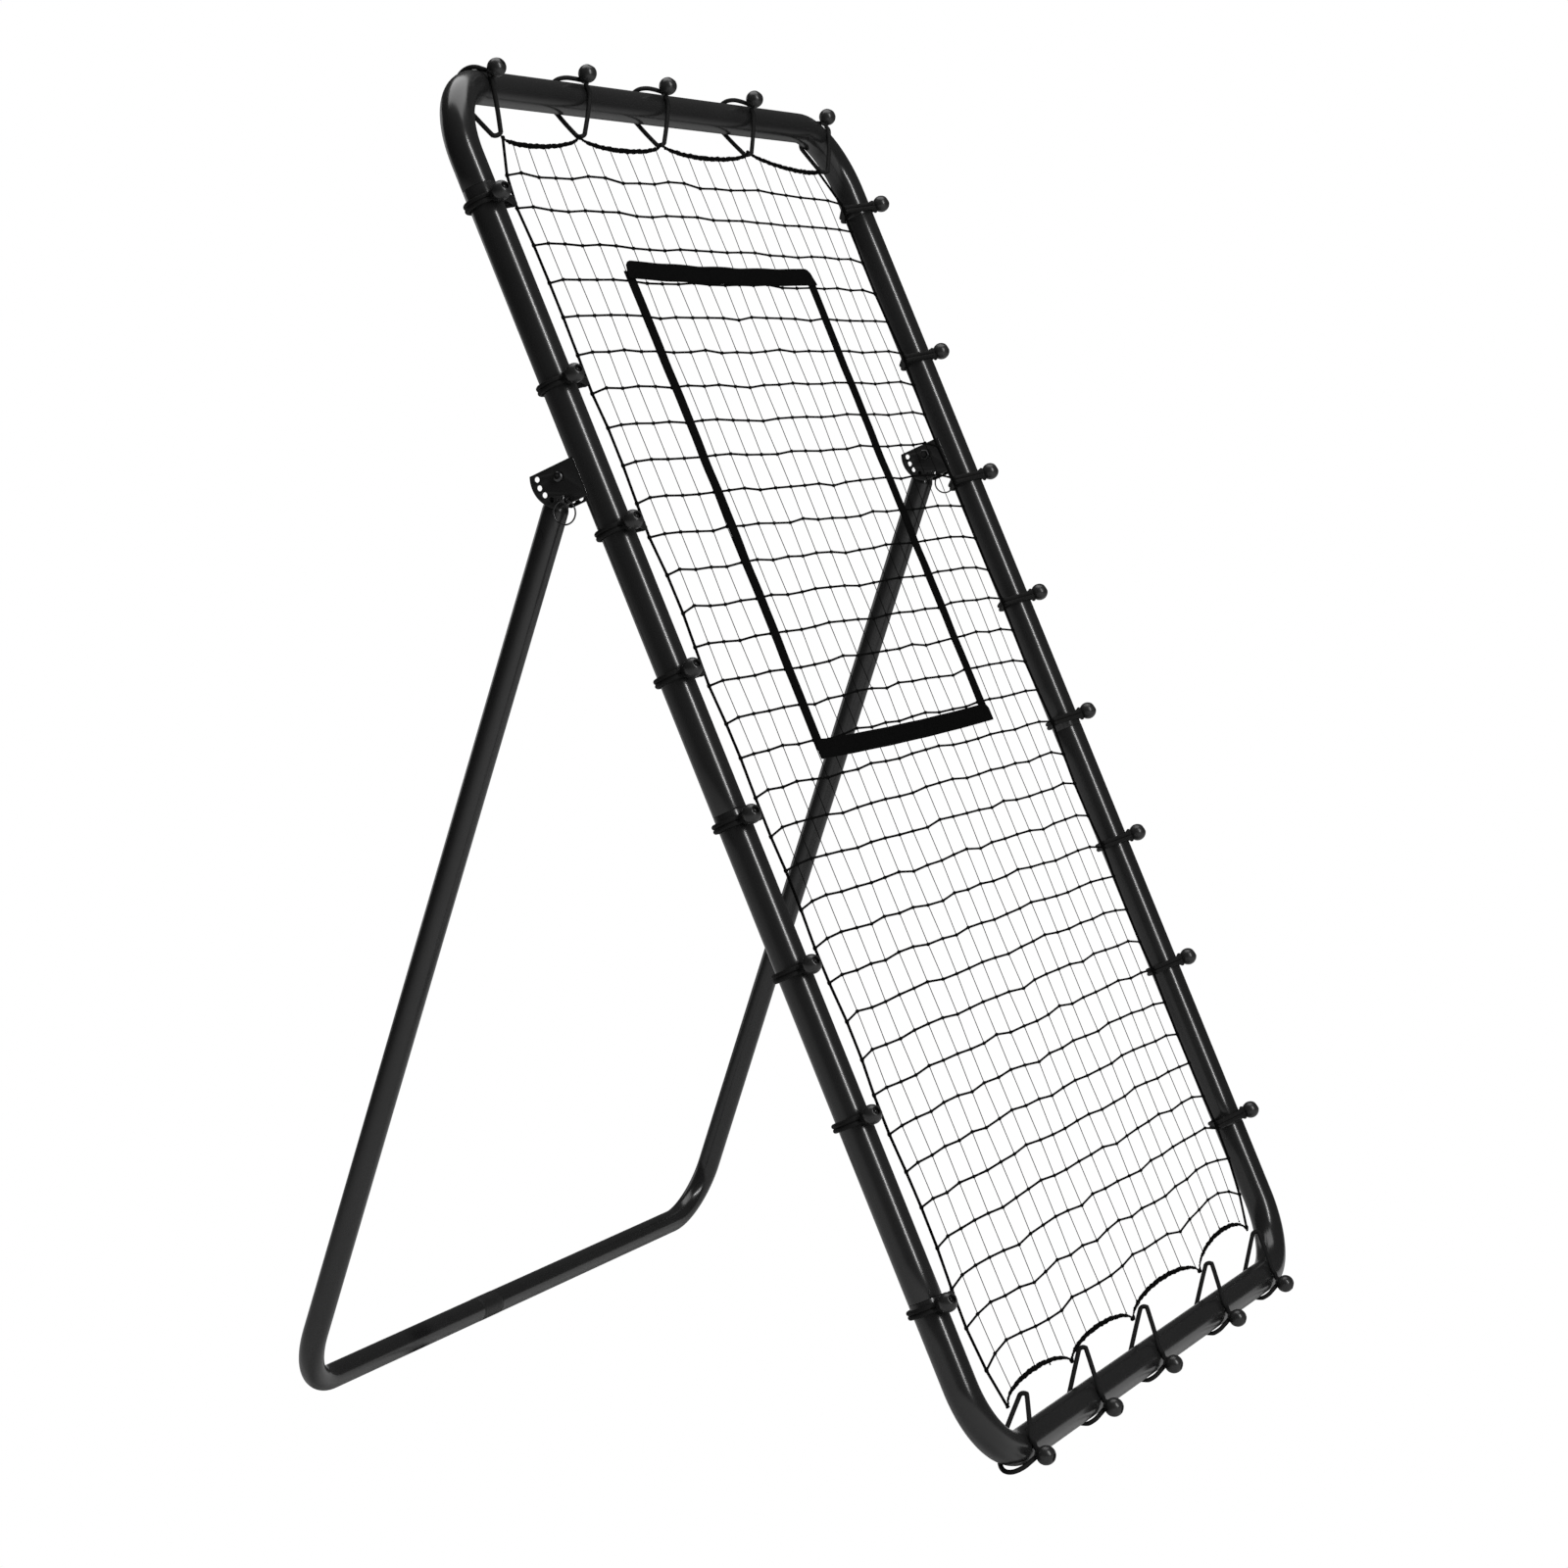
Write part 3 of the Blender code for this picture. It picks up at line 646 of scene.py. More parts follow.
def make_stand(coat, plastic):
    """Two bent legs with domed ends, and the collar that joins them."""
    normal = STAND.to_3x3() @ Vector((0, 0, 1))
    corner_x = HALF_WIDTH - STAND_BEND_R
    for side, word in ((-1, "left"), (1, "right")):
        start = JOINT_AT + side * (JOINT_HALF + SEAM_GAP / 2)
        points = [(x, 0) for x in np.linspace(start, side * corner_x, 10)]
        end_angle = -pi if side < 0 else 0
        points += arc(side * corner_x, STAND_BEND_R, -pi / 2, end_angle, STAND_BEND_R, BEND_STEPS)
        shoulder, neck = LEG_LENGTH - LEG_END - TAPER, LEG_LENGTH - LEG_END
        points += [(side * HALF_WIDTH, s) for s in np.linspace(STAND_BEND_R, shoulder, 16)[1:]]
        radii = [LEG_R] * len(points)
        for i in range(1, 7):
            t = i / 6
            points.append((side * HALF_WIDTH, shoulder + TAPER * t))
            radii.append(LEG_R + (LEG_END_R - LEG_R) * t * t * (3 - 2 * t))
        points.append((side * HALF_WIDTH, LEG_LENGTH))
        radii.append(LEG_END_R)
        for i in range(1, 13):
            angle = i / 12 * radians(88)
            points.append((side * HALF_WIDTH, LEG_LENGTH + LEG_END_R * sin(angle)))
            radii.append(LEG_END_R * cos(angle))
        shape = Shape()
        sweep(shape, in_plane(STAND, points), radii, TUBE_SIDES, normal=normal)
        shape.made(f"stand_{word}_tube", coat, "stand", [f"stand_{word}"], "powder_coat")
    shape = Shape()
    ends = JOINT_HALF - 0.05 * MM
    collar = [(JOINT_AT + x, 0) for x in np.linspace(-ends, ends, 9)]
    tube_shell(shape, in_plane(STAND, collar), LEG_R + 0.15 * MM, 2 * LEG_WALL, normal, 0.8 * MM)
    shape.made("stand_joint_collar", plastic, "stand", ["stand_joint"], "joint_plastic")


# ---- bracket plates and hardware --------------------------------------------------------
PLATE_ROOT = 6 * MM              # the visible plate runs into the rail's skin, where it is welded


def plate_axes(x):
    """x back from the rail, y up it, z across, with its origin on the pivot at x."""
    return axes(PIVOT + ACROSS * x, BACK, UP_FRAME)


def hole_place(k):
    """The k-th lock hole's centre. Hole 0 is where the leg crosses the circle of holes."""
    angle = LEG_TO_RAIL - pi / 2 + k * HOLE_STEP
    return HOLE_CIRCLE * cos(angle), HOLE_CIRCLE * sin(angle)


def circle_points(x, y, radius, sides=28):
    turn = 2 * pi / sides
    return [(x + radius * cos(i * turn), y + radius * sin(i * turn)) for i in range(sides)]


def plate_loops():
    """The plate's outline, then its pivot hole and lock holes."""
    start, end = -asin(PLATE_BELOW / PLATE_R), asin(PLATE_ABOVE / PLATE_R)
    front = PLATE_ROOT - PIVOT_BACK
    outline = [(front, PLATE_ABOVE), (front, -PLATE_BELOW)]
    outline += [(PLATE_R * cos(start), PLATE_R * sin(start))]
    outline += arc(0, 0, start, end, PLATE_R, 28)
    loops = [outline, circle_points(0, 0, BOLT_R + 0.5 * MM)]
    return loops + [circle_points(*hole_place(k), HOLE_R) for k in HOLES]


def make_plate(name, centre_x, coat):
    """A pressed plate: round back edge, pivot and lock holes, softened edges."""
    bevel = 0.35 * MM
    curve = bpy.data.curves.new(name, "CURVE")
    curve.dimensions = "2D"
    curve.fill_mode = "BOTH"
    curve.extrude = PLATE / 2 - bevel
    curve.bevel_depth = bevel
    curve.bevel_resolution = 2
    curve.offset = -bevel
    for loop in plate_loops():
        spline = curve.splines.new("POLY")
        spline.points.add(len(loop) - 1)
        for point, (x, y) in zip(spline.points, loop):
            point.co = (x, y, 0, 1)
        spline.use_cyclic_u = True
    flat = bpy.data.objects.new(name, curve)
    bpy.context.scene.collection.objects.link(flat)
    bpy.context.view_layer.update()
    depsgraph = bpy.context.evaluated_depsgraph_get()
    mesh = bpy.data.meshes.new_from_object(flat.evaluated_get(depsgraph))
    bpy.data.objects.remove(flat, do_unlink=True)
    bm = bmesh.new()
    bm.from_mesh(mesh)
    bmesh.ops.remove_doubles(bm, verts=bm.verts, dist=0.00002)
    bmesh.ops.transform(bm, matrix=plate_axes(centre_x), verts=bm.verts)
    bmesh.ops.recalc_face_normals(bm, faces=bm.faces)
    bm.to_mesh(mesh)
    bm.free()
    add_piece(f"{name}_steel", mesh, coat, "frame", [name], 30)


def make_welds(side, word, coat):
    """Fillet welds where both plates meet the rail."""
    shape = Shape()
    for across in (-1, 1):
        face = across * (PLATE_INNER + PLATE)
        back = (TUBE_R ** 2 - (PLATE_INNER + PLATE) ** 2) ** 0.5 + 0.5 * MM
        place = plate_axes(side * HALF_WIDTH)
        heights = np.linspace(-PLATE_BELOW + 1.5 * MM, PLATE_ABOVE - 1.5 * MM, 60)
        path = [place @ Vector((back - PIVOT_BACK, y, face - across * 0.4 * MM)) for y in heights]
        ripple = 0.9 * MM + 0.015 * MM * np.sin(heights / (1.1 * MM))
        ripple[[0, -1]] *= 0.5
        sweep(shape, path, ripple, 12)
    shape.made(f"bracket_welds_{word}", coat, "frame", slot="powder_coat")


def outward_axes(side, point):
    """z out of the frame's side, through a point."""
    return axes(point, (0, side, 0), (0, 0, 1))


def make_bolt(side, word, metal):
    """Pivot bolt with a domed button head and a recess, and its nut inside."""
    place = outward_axes(side, PIVOT + ACROSS * side * HALF_WIDTH)
    face = PLATE_INNER + PLATE + 0.3 * MM
    rim = 0.9 * MM
    socket = 3.0 * MM
    profile = [(BOLT_R, -face - NUT - 2 * MM), (BOLT_R, face), (BOLT_HEAD_R - 0.3 * MM, face),
               (BOLT_HEAD_R, face + 0.3 * MM)]
    for angle in np.linspace(0, radians(62), 9):
        profile.append((BOLT_HEAD_R * cos(angle), face + rim + (BOLT_HEAD - rim) * sin(angle)))
    top = profile[-1][1]
    profile += [(socket, top), (socket * 0.97, top - 2.2 * MM), (0.3 * MM, top - 2.6 * MM)]
    shape = Shape()
    lathe(shape, profile, place, 36)
    shape.made(f"pivot_bolt_{word}_head", metal, "frame", [f"pivot_bolt_{word}"], "hardware")
    shape = Shape()
    inner = -face
    chamfer = 0.8 * MM
    profile = [(BOLT_R + 0.3 * MM, inner), (NUT_R - chamfer, inner), (NUT_R, inner - chamfer),
               (NUT_R, inner - NUT + chamfer), (NUT_R - chamfer, inner - NUT),
               (BOLT_R + 0.8 * MM, inner - NUT), (BOLT_R + 0.3 * MM, inner - NUT + chamfer)]
    hexagon(shape, profile, place)
    shape.made(f"pivot_nut_{word}_hex", metal, "frame", [f"pivot_nut_{word}"], "hardware", sharp=20)


def hexagon(shape, profile, place):
    """A six-sided nut from a closed profile, whose points outside its bore follow the hexagon."""
    sides = 36
    points = []
    for radius, height in profile:
        for j in range(sides):
            angle = 2 * pi * j / sides
            facet = cos(pi / 6) / cos((angle % (pi / 3)) - pi / 6)
            reach = radius * facet if radius > BOLT_R + MM else radius
            points.append(place @ Vector((reach * cos(angle), reach * sin(angle), height)))
    add_ring(shape, points, len(profile), sides)


def add_ring(shape, points, count, sides):
    """Close a profile's turned points into a ring, with one whole square of UV on each face."""
    faces = wrap(count, sides, range(count + 1), closed=True)[0]
    shape.add(points, faces, [((0, 0), (1, 0), (1, 1), (0, 1))] * len(faces))


def make_pin(side, word, metal):
    """Lock pin with a flattened eye, and the wire ring that hangs in it."""
    x, y = hole_place(HOLES[0])
    place = outward_axes(side, plate_axes(side * HALF_WIDTH) @ Vector((x, y, 0)))
    eye_at = PLATE_INNER + PLATE + PIN_NECK + EYE_R
    profile = [(PIN_R - 0.6 * MM, PLATE_INNER), (PIN_R, PLATE_INNER + 0.6 * MM)]
    profile += [(PIN_R, eye_at - EYE_R), (PIN_R * 0.8, eye_at - EYE_R + 1.5 * MM)]
    shape = Shape()
    lathe(shape, profile, place, 28)
    eye = axes(place @ Vector((0, 0, eye_at)), (1, 0, 0), (0, 0, 1))
    half, soft = EYE / 2, 0.5 * MM
    loop = [(EYE_HOLE_R + soft, half), (EYE_R - soft, half), (EYE_R, half - soft), (EYE_R, soft - half),
            (EYE_R - soft, -half), (EYE_HOLE_R + soft, -half), (EYE_HOLE_R, soft - half),
            (EYE_HOLE_R, half - soft)]
    add_ring(shape, turned(loop, eye, 32), len(loop), 32)
    shape.made(f"lock_pin_{word}_steel", metal, f"lock_pin_{word}", [f"lock_pin_{word}"], "hardware")
    hang = Vector(next(j["pos_m"] for j in frame["joints"] if j["name"] == f"pin_ring_{word}_swing"))
    turn = np.linspace(0, 2 * pi, 96, endpoint=False)
    path = [hang + Vector((0, RING_R * sin(a), RING_R * (cos(a) - 1))) for a in turn]
    shape = Shape()
    sweep(shape, path, RING_WIRE_R, 12, closed=True)
    shape.made(f"pin_ring_{word}_wire", metal, f"pin_ring_{word}", [f"pin_ring_{word}"], "hardware")


# ---- ball bungees -----------------------------------------------------------------------
CORD_PATH_R = TUBE_R + CORD_R + 0.1 * MM
STRAND_PLACE = 2.75 * MM         # half the distance between a side bungee's two strands
NECK_PLACE = 6.6 * MM            # how far the cord passes the neck of a side ball on each side
NECK_TURN = NECK_PLACE / (CORD_PATH_R + 2 * MM)


def ring_point(angle, radius=CORD_PATH_R):
    """(out, ahead) at an angle from straight ahead towards outward."""
    return radius * sin(angle), radius * cos(angle)


def tangents(reach, turn_r):
    """The angles at which a taut cord leaves and meets the tube, and its turn's centre."""
    centre = (-(reach - turn_r), NET_FRONT)
    aim = atan2(centre[0], centre[1])
    spread = acos((CORD_PATH_R - turn_r) / hypot(*centre))
    return aim, spread, centre


def side_strand(way):
    """One of the two strands round a side rail, from inside the ball to its neck's far side."""
    aim, spread, centre = tangents(SIDE_REACH, TURN_R)
    rest = STRAND_PLACE * way
    points = [(0.9 * MM * way, *ring_point(SIDE_BALL, 32 * MM)),
              (1.6 * MM * way, *ring_point(SIDE_BALL + radians(5), 26.5 * MM))]
    leave, meet = aim - spread + 2 * pi, aim + spread
    for t in np.linspace(SIDE_BALL + radians(24), leave, 13):
        points.append((rest, *ring_point(t)))
    for t in (0.0, 0.28, 0.5, 0.72, 1.0):
        angle = leave + 2 * spread * t
        wide = rest * (1.0 + 0.25 * sin(pi * t))
        points.append((wide, centre[0] + TURN_R * sin(angle), centre[1] + TURN_R * cos(angle)))
    for t, wide in ((meet, 1.0), (meet + radians(9), 1.1), (SIDE_BALL - NECK_TURN * 1.5, 1.7)):
        points.append((rest * wide, *ring_point(t, CORD_PATH_R + 0.2 * MM)))
    for turn in (-pi * 0.42, -pi * 0.28, -pi * 0.14, 0):
        points.append((way * NECK_PLACE * cos(turn),
                       *ring_point(SIDE_BALL + NECK_TURN * sin(turn), CORD_PATH_R + 1.6 * MM)))
    return points


def side_loop():
    """A side bungee's whole cord: out along one strand, round the neck, back along the other."""
    across = [(NECK_PLACE * cos(turn),
               *ring_point(SIDE_BALL + NECK_TURN * sin(turn), CORD_PATH_R + 2.2 * MM))
              for turn in (pi * 0.22, pi * 0.4, pi * 0.6, pi * 0.78)]
    return side_strand(1) + across + side_strand(-1)[::-1]


def end_loop(reach, ball_angle, hook, kind, lift):
    """A single strand round an end rail and through the net's edge, from the ball and back.

    Over, back and front are how far along the rail it lies as it goes round. Hook is how far
    along it meets the net, and arch how much its turn there opens.
    """
    aim, spread, centre = tangents(reach, END_TURN_R)
    leave, meet = aim - spread + 2 * pi, aim + spread
    if kind == "top":
        over, back, front, arch = 0.6 * hook, 0.55 * hook, 0.16 * hook, 4.2 * MM
    else:
        over, back, front, arch = -0.55 * hook, 0.1 * hook, -0.14 * hook, -2 * MM
    points = [(0.0, *ring_point(ball_angle, 33 * MM)),
              (0.0, *ring_point(ball_angle + radians(7), 27 * MM))]
    for t in np.linspace(0.14, 1.0, 10):
        angle = ball_angle + (leave - ball_angle) * t
        swell = lift * sin(pi * min(1.0, t * 1.3)) if t < 0.77 else 0.0
        along = over * ease(t / 0.4) + (back - over) * ease((t - 0.45) / 0.55)
        points.append((along, *ring_point(angle, CORD_PATH_R + swell)))
    leaves = np.array(points[-1])
    turn = []
    for t in np.linspace(0, 1, 9):
        angle = leave + 2 * spread * t
        sway = arch * sin((t - 0.5) * pi)
        turn.append((hook + sway, centre[0] + END_TURN_R * sin(angle),
                     centre[1] + END_TURN_R * cos(angle)))
    meets = np.array((front, *ring_point(meet, CORD_PATH_R + 0.3 * MM)))
    bow = np.array((arch * 0.35, 0, 0))
    points += [tuple(leaves + (np.array(turn[0]) - leaves) * t - bow * 4 * t * (1 - t))
               for t in (0.33, 0.66)]
    points += turn
    points += [tuple(meets + (np.array(turn[-1]) - meets) * t + bow * 4 * t * (1 - t))
               for t in (0.66, 0.33)]
    for t in (0.0, 0.35, 0.7):
        angle = meet + (ball_angle - meet) * t
        points.append((front * (1 - t), *ring_point(angle, CORD_PATH_R + 0.3 * MM)))
    points += [(0.0, *ring_point(ball_angle - radians(9), 27.4 * MM)),
               (0.0, *ring_point(ball_angle - radians(1), 33 * MM))]
    return points


def ease(t):
    """A smooth step from 0 to 1."""
    t = min(max(t, 0.0), 1.0)
    return t * t * (3 - 2 * t)


def ball_profile():
    """A ball with a short neck towards the rail and a recessed hole at its far end."""
    neck_r, hole_r = 5.4 * MM, 4.9 * MM
    base = -BALL_R - 1.3 * MM
    profile = [(2.6 * MM, base + 0.3 * MM), (neck_r - 0.5 * MM, base), (neck_r, base + 0.5 * MM),
               (neck_r, -BALL_R * cos(asin(neck_r / BALL_R)) - 0.2 * MM)]
    start, end = asin(neck_r / BALL_R), pi - asin((hole_r + 0.7 * MM) / BALL_R)
    for angle in np.linspace(start + 0.06, end, 26):
        profile.append((BALL_R * sin(angle), -BALL_R * cos(angle)))
    top = -BALL_R * cos(end)
    profile += [(hole_r + 0.25 * MM, top + 0.12 * MM), (hole_r, top - 0.35 * MM),
                (hole_r, top - 4.5 * MM), (0.4 * MM, top - 4.8 * MM)]
    return profile


def add_knot(shape, place):
    """The knotted cord end, seen down the ball's hole."""
    turn = np.linspace(0, 2 * pi, 24, endpoint=False)
    path = [place @ Vector((2.0 * MM * cos(a), 2.0 * MM * sin(a), 7.6 * MM + 0.4 * MM * sin(2 * a)))
            for a in turn]
    sweep(shape, path, 1.2 * MM, 10, closed=True)


def ball_axes(place, ball_angle):
    """The ball's own axes, z away from the rail. A side ball also tips up the frame."""
    radial = place.to_3x3() @ Vector((0, sin(ball_angle), cos(ball_angle)))
    sideways = place.to_3x3() @ Vector((1, 0, 0))
    centre = place @ Vector((0, BALL_OUT * sin(ball_angle), BALL_OUT * cos(ball_angle)))
    on_side_rail = abs(sideways.dot(UP_FRAME)) > 0.5
    up = UP_FRAME if on_side_rail else Vector((0, 0, 0))
    radial = (radial + up * tan(BALL_TILT)).normalized()
    sideways = (sideways - radial * sideways.dot(radial)).normalized()
    return axes(centre, sideways, radial.cross(sideways))


def make_bungee(name, route, steps, ball_angle, outward, x, y, cord, plastic):
    """A braided cord and its ball, placed on the frame as the CAD bungee is."""
    out = Vector((*outward, 0))
    ahead = Vector((0, 0, 1))
    place = FRAME @ axes((x, y, 0), out.cross(ahead), out)
    ball_place = ball_axes(place, ball_angle)
    shape = Shape()
    sweep(shape, [place @ Vector(point) for point in smooth_path(route, steps)], CORD_R, 14)
    shape.made(f"{name}_cord", cord, "frame", [name], "bungee")
    shape = Shape()
    lathe(shape, ball_profile(), ball_place, 32)
    shape.made(f"{name}_ball", plastic, "frame", slot="bungee")
    shape = Shape()
    add_knot(shape, ball_place)
    shape.made(f"{name}_knot", cord, "frame", slot="bungee")
    shape = Shape()
    tip = [(1.0 * MM, 6.6 * MM), (1.1 * MM, 8.6 * MM), (0.9 * MM, 9.0 * MM), (0.5 * MM, 9.2 * MM),
           (0.1 * MM, 9.3 * MM)]
    lathe(shape, tip, ball_place, 20)
    shape.made(f"{name}_cord_tip", plastic, "frame", slot="bungee")


def on_end_rail(x, end, away):
    """The end rail's axis at x, and its outward direction, also where it has begun to bend."""
    past = max(0.0, abs(x) - (HALF_WIDTH - BEND_R))
    side = 1 if x > 0 else -1
    lean = past / BEND_R
    rise = (1 - lean * lean) ** 0.5
    return (side * lean, away * rise), end - away * BEND_R * (1 - rise)


def make_bungees(cord, plastic):
    """Eight bungees on each side rail and five on each end rail."""
    route = side_loop()
    for side, word, heights in ((-1, "left", LEFT_HEIGHTS), (1, "right", RIGHT_HEIGHTS)):
        for i, height in enumerate(heights, 1):
            make_bungee(f"bungee_{word}_{i}", route, 5, SIDE_BALL, (side, 0),
                        side * HALF_WIDTH, height, cord, plastic)
    for i, (x, hook, angle) in enumerate(TOP_PLACES, 1):
        reach = TOP_CORNER_REACH if i in (1, len(TOP_PLACES)) else TOP_REACH
        outward, y = on_end_rail(x * MM, LENGTH, 1)
        lift = 0.0 if i == 1 else 4.5 * MM
        route = end_loop(reach, radians(angle), hook * MM, "top", lift)
        make_bungee(f"bungee_top_{i}", route, 6, radians(angle), outward, x * MM, y, cord, plastic)
    for i, (x, hook) in enumerate(BOTTOM_PLACES, 1):
        outward, y = on_end_rail(x * MM, 0, -1)
        route = end_loop(BOTTOM_REACH, BOTTOM_BALL, -hook * MM, "bottom", 1.5 * MM)
        make_bungee(f"bungee_bottom_{i}", route, 6, BOTTOM_BALL, outward, x * MM, y, cord, plastic)


# ---- net --------------------------------------------------------------------------------
COLUMNS = 22
ROWS = 34
CELL = 47.9 * MM
NET_TOP = 1703 * MM
NET_EDGE = 528 * MM              # half the net's width at its side hooks
NET_WAIST = 10 * MM              # how far the edge pulls in between hooks
TOP_DRAW = 41 * MM               # how far each corner pulls in
LEFT_LOW_DRAW = 33 * MM
RIGHT_LOW_DRAW = 58 * MM
ROW_CORD_R = 1.45 * MM
COLUMN_CORD_R = 0.55 * MM
EDGE_CORD_R = 1.8 * MM
HEM_R = 3.0 * MM
KNOT_R = 2.5 * MM
KNOT_SPREAD = 2.6 * MM           # a knot's half length
# Each hem: its (across, height) places at the hooks, then its bows up between them, in millimetres.
TOP_HEM = (((-487, 1699), (-268, 1713), (-26, 1715), (258, 1717), (495, 1699)), (-14, -17, -17, -11))
BOTTOM_HEM = (((-495, 52), (-269, 50), (-33, 51), (250, 54), (480, 68)), (20, 21, 25, 26))


def line_height(x, line):
    """A hem's height at x: half an ellipse between each two hooks."""
    hooks, bows = line
    x = min(max(x / MM, hooks[0][0]), hooks[-1][0])
    for (left, low), (right, high), bow in zip(hooks, hooks[1:], bows):
        if x <= right:
            t = (x - left) / (right - left)
            return (low + (high - low) * t + 2 * bow * (t * (1 - t)) ** 0.5) * MM


def edge_x(height, hooks, low_draw):
    """How far out the net's edge is: widest at each side hook, pulled in between and at corners."""
    stops = sorted(hooks)
    if height >= stops[-1]:
        t = (height - stops[-1]) / (NET_TOP - stops[-1])
        return NET_EDGE - TOP_DRAW * min(t, 1.0) ** 2
    if height <= stops[0]:
        t = (stops[0] - height) / (stops[0] - 60 * MM)
        return NET_EDGE - low_draw * min(t, 1.0) ** 2
    for low, high in zip(stops, stops[1:]):
        if low <= height <= high:
            t = (height - low) / (high - low)
            return NET_EDGE - NET_WAIST * (4 * t * (1 - t)) ** 0.8


def ripple(column, row):
    """How far a knot sits off its straight row, in metres: gentle uneven waves."""
    swell = (1.2 * sin(1.35 * column + 0.55 * row) + 0.9 * sin(0.62 * column - 0.38 * row + 1.3)
             + 0.9 * sin(2.6 * column - 1.1 * row + 0.4) + 0.5 * sin(3.9 * column + 2.3 * row))
    return swell * (1.0 + 0.5 * row / ROWS) * MM


def knot_place(column, row):
    """A crossing of the net, in frame coordinates."""
    share = 2 * column / COLUMNS - 1
    on_left = share < 0
    hooks = LEFT_HEIGHTS if on_left else RIGHT_HEIGHTS
    low_draw = LEFT_LOW_DRAW if on_left else RIGHT_LOW_DRAW
    height = NET_TOP - CELL * row + 4 * MM * share * row / ROWS
    inner = 1 - abs(share) ** 3
    height += ripple(column, row) * (0.4 + 0.6 * inner)
    x = share * NET_EDGE
    drawn_in = (NET_EDGE - edge_x(height, hooks, low_draw)) * abs(share) ** 12
    x += drawn_in if on_left else -drawn_in
    x += 1.2 * MM * inner * sin(1.7 * row + 2.3 * column)
    pull_top = line_height(x, TOP_HEM) - NET_TOP
    pull_low = line_height(x, BOTTOM_HEM) - (NET_TOP - CELL * ROWS)
    reach_top = max(0.0, 1 - row / 4) ** 2.2 if row else 1.0
    reach_low = max(0.0, 1 - (ROWS - row) / 5) ** 2.2 if row < ROWS else 1.0
    height += pull_top * reach_top + pull_low * reach_low
    if column in (0, COLUMNS) and 0 < row < ROWS:
        height -= (5 + 2 * sin(2.1 * row)) * MM
    belly = -3.0 * MM * (1 - share ** 4) * sin(pi * row / ROWS)
    front = NET_FRONT + belly + 0.6 * MM * sin(1.1 * row + 0.9 * column)
    return Vector((x, height, front))


def cord_points(knots, radius, knot_radius, spread):
    """A cord through knots, thicker at each one, with the radius at each point."""
    path, radii = [], []
    near = ((0.0, knot_radius), (spread * 0.55, knot_radius * 0.92), (spread, radius * 1.05))
    for a, b in zip(knots, knots[1:]):
        length = (b - a).length
        for distance, r in near:
            path.append(a + (b - a) * (distance / length))
            radii.append(r)
        path.append(a + (b - a) * 0.5)
        radii.append(radius)
        for distance, r in near[:0:-1]:
            path.append(b + (a - b) * (distance / length))
            radii.append(r)
    path.append(knots[-1])
    radii.append(knot_radius)
    return path, radii


def hem_points(knots, line):
    """The thick, uneven edge cord along a hem, thinner where it turns in to a hook."""
    path, radii = [], []
    pieces = 24
    for i, (a, b) in enumerate(zip(knots, knots[1:])):
        for k in range(pieces):
            p = a + (b - a) * (k / pieces)
            step = i * pieces + k
            p.y = line_height(p.x, line) + 0.35 * MM * sin(step * 2.2)
            p.z += 0.4 * MM * sin(step * 1.9)
            path.append(p)
            slope = line_height(p.x + 6 * MM, line) - line_height(p.x - 6 * MM, line)
            thick = HEM_R * (1 - 0.55 * min(1.0, abs(slope) / (5 * MM)))
            radii.append(thick * (1 + 0.2 * sin(step * 2.5) + 0.12 * sin(step * 0.71 + 2)))
    path.append(knots[-1])
    radii.append(HEM_R)
    return path, radii


def make_cords(name, cords, sides, twined, replaced=()):
    """One piece of the net from its cords, each a path and its radii."""
    normal = FRAME.to_3x3() @ Vector((0, 0, 1))
    shape = Shape()
    for path, radii in cords:
        sweep(shape, [FRAME @ p for p in path], radii, sides, normal=normal)
    shape.made(name, twined, "frame", replaced, "net_cord", sharp=60)


def make_net(row_twine, column_twine, hem_twine):
    """The net's rows, its thin columns, its two side cords and its two hems."""
    rows = [[knot_place(c, r) for c in range(COLUMNS + 1)] for r in range(ROWS + 1)]
    columns = [[row[c] for row in rows] for c in range(COLUMNS + 1)]
    cords = [cord_points(row, ROW_CORD_R, KNOT_R, KNOT_SPREAD) for row in rows[1:-1]]
    make_cords("net_row_cords", cords, 8, row_twine, ["net"])
    cords = [cord_points(column, COLUMN_CORD_R, COLUMN_CORD_R * 2.2, 2.4 * MM)
             for column in columns[1:-1]]
    make_cords("net_column_cords", cords, 6, column_twine)
    cords = [cord_points(column, EDGE_CORD_R, KNOT_R * 1.1, KNOT_SPREAD)
             for column in (columns[0], columns[-1])]
    make_cords("net_side_cords", cords, 8, row_twine)
    cords = [hem_points(rows[0], TOP_HEM), hem_points(rows[-1], BOTTOM_HEM)]
    make_cords("net_hem_cords", cords, 10, hem_twine)


# ---- strike zone ------------------------------------------------------------------------
ZONE_HALF_WIDTH = 289 * MM
ZONE_LOW = 873 * MM
ZONE_HIGH = 1526 * MM
WEBBING = 25 * MM
WEBBING_THICK = 1.6 * MM
WEBBING_FRONT = NET_FRONT + 2.3 * MM


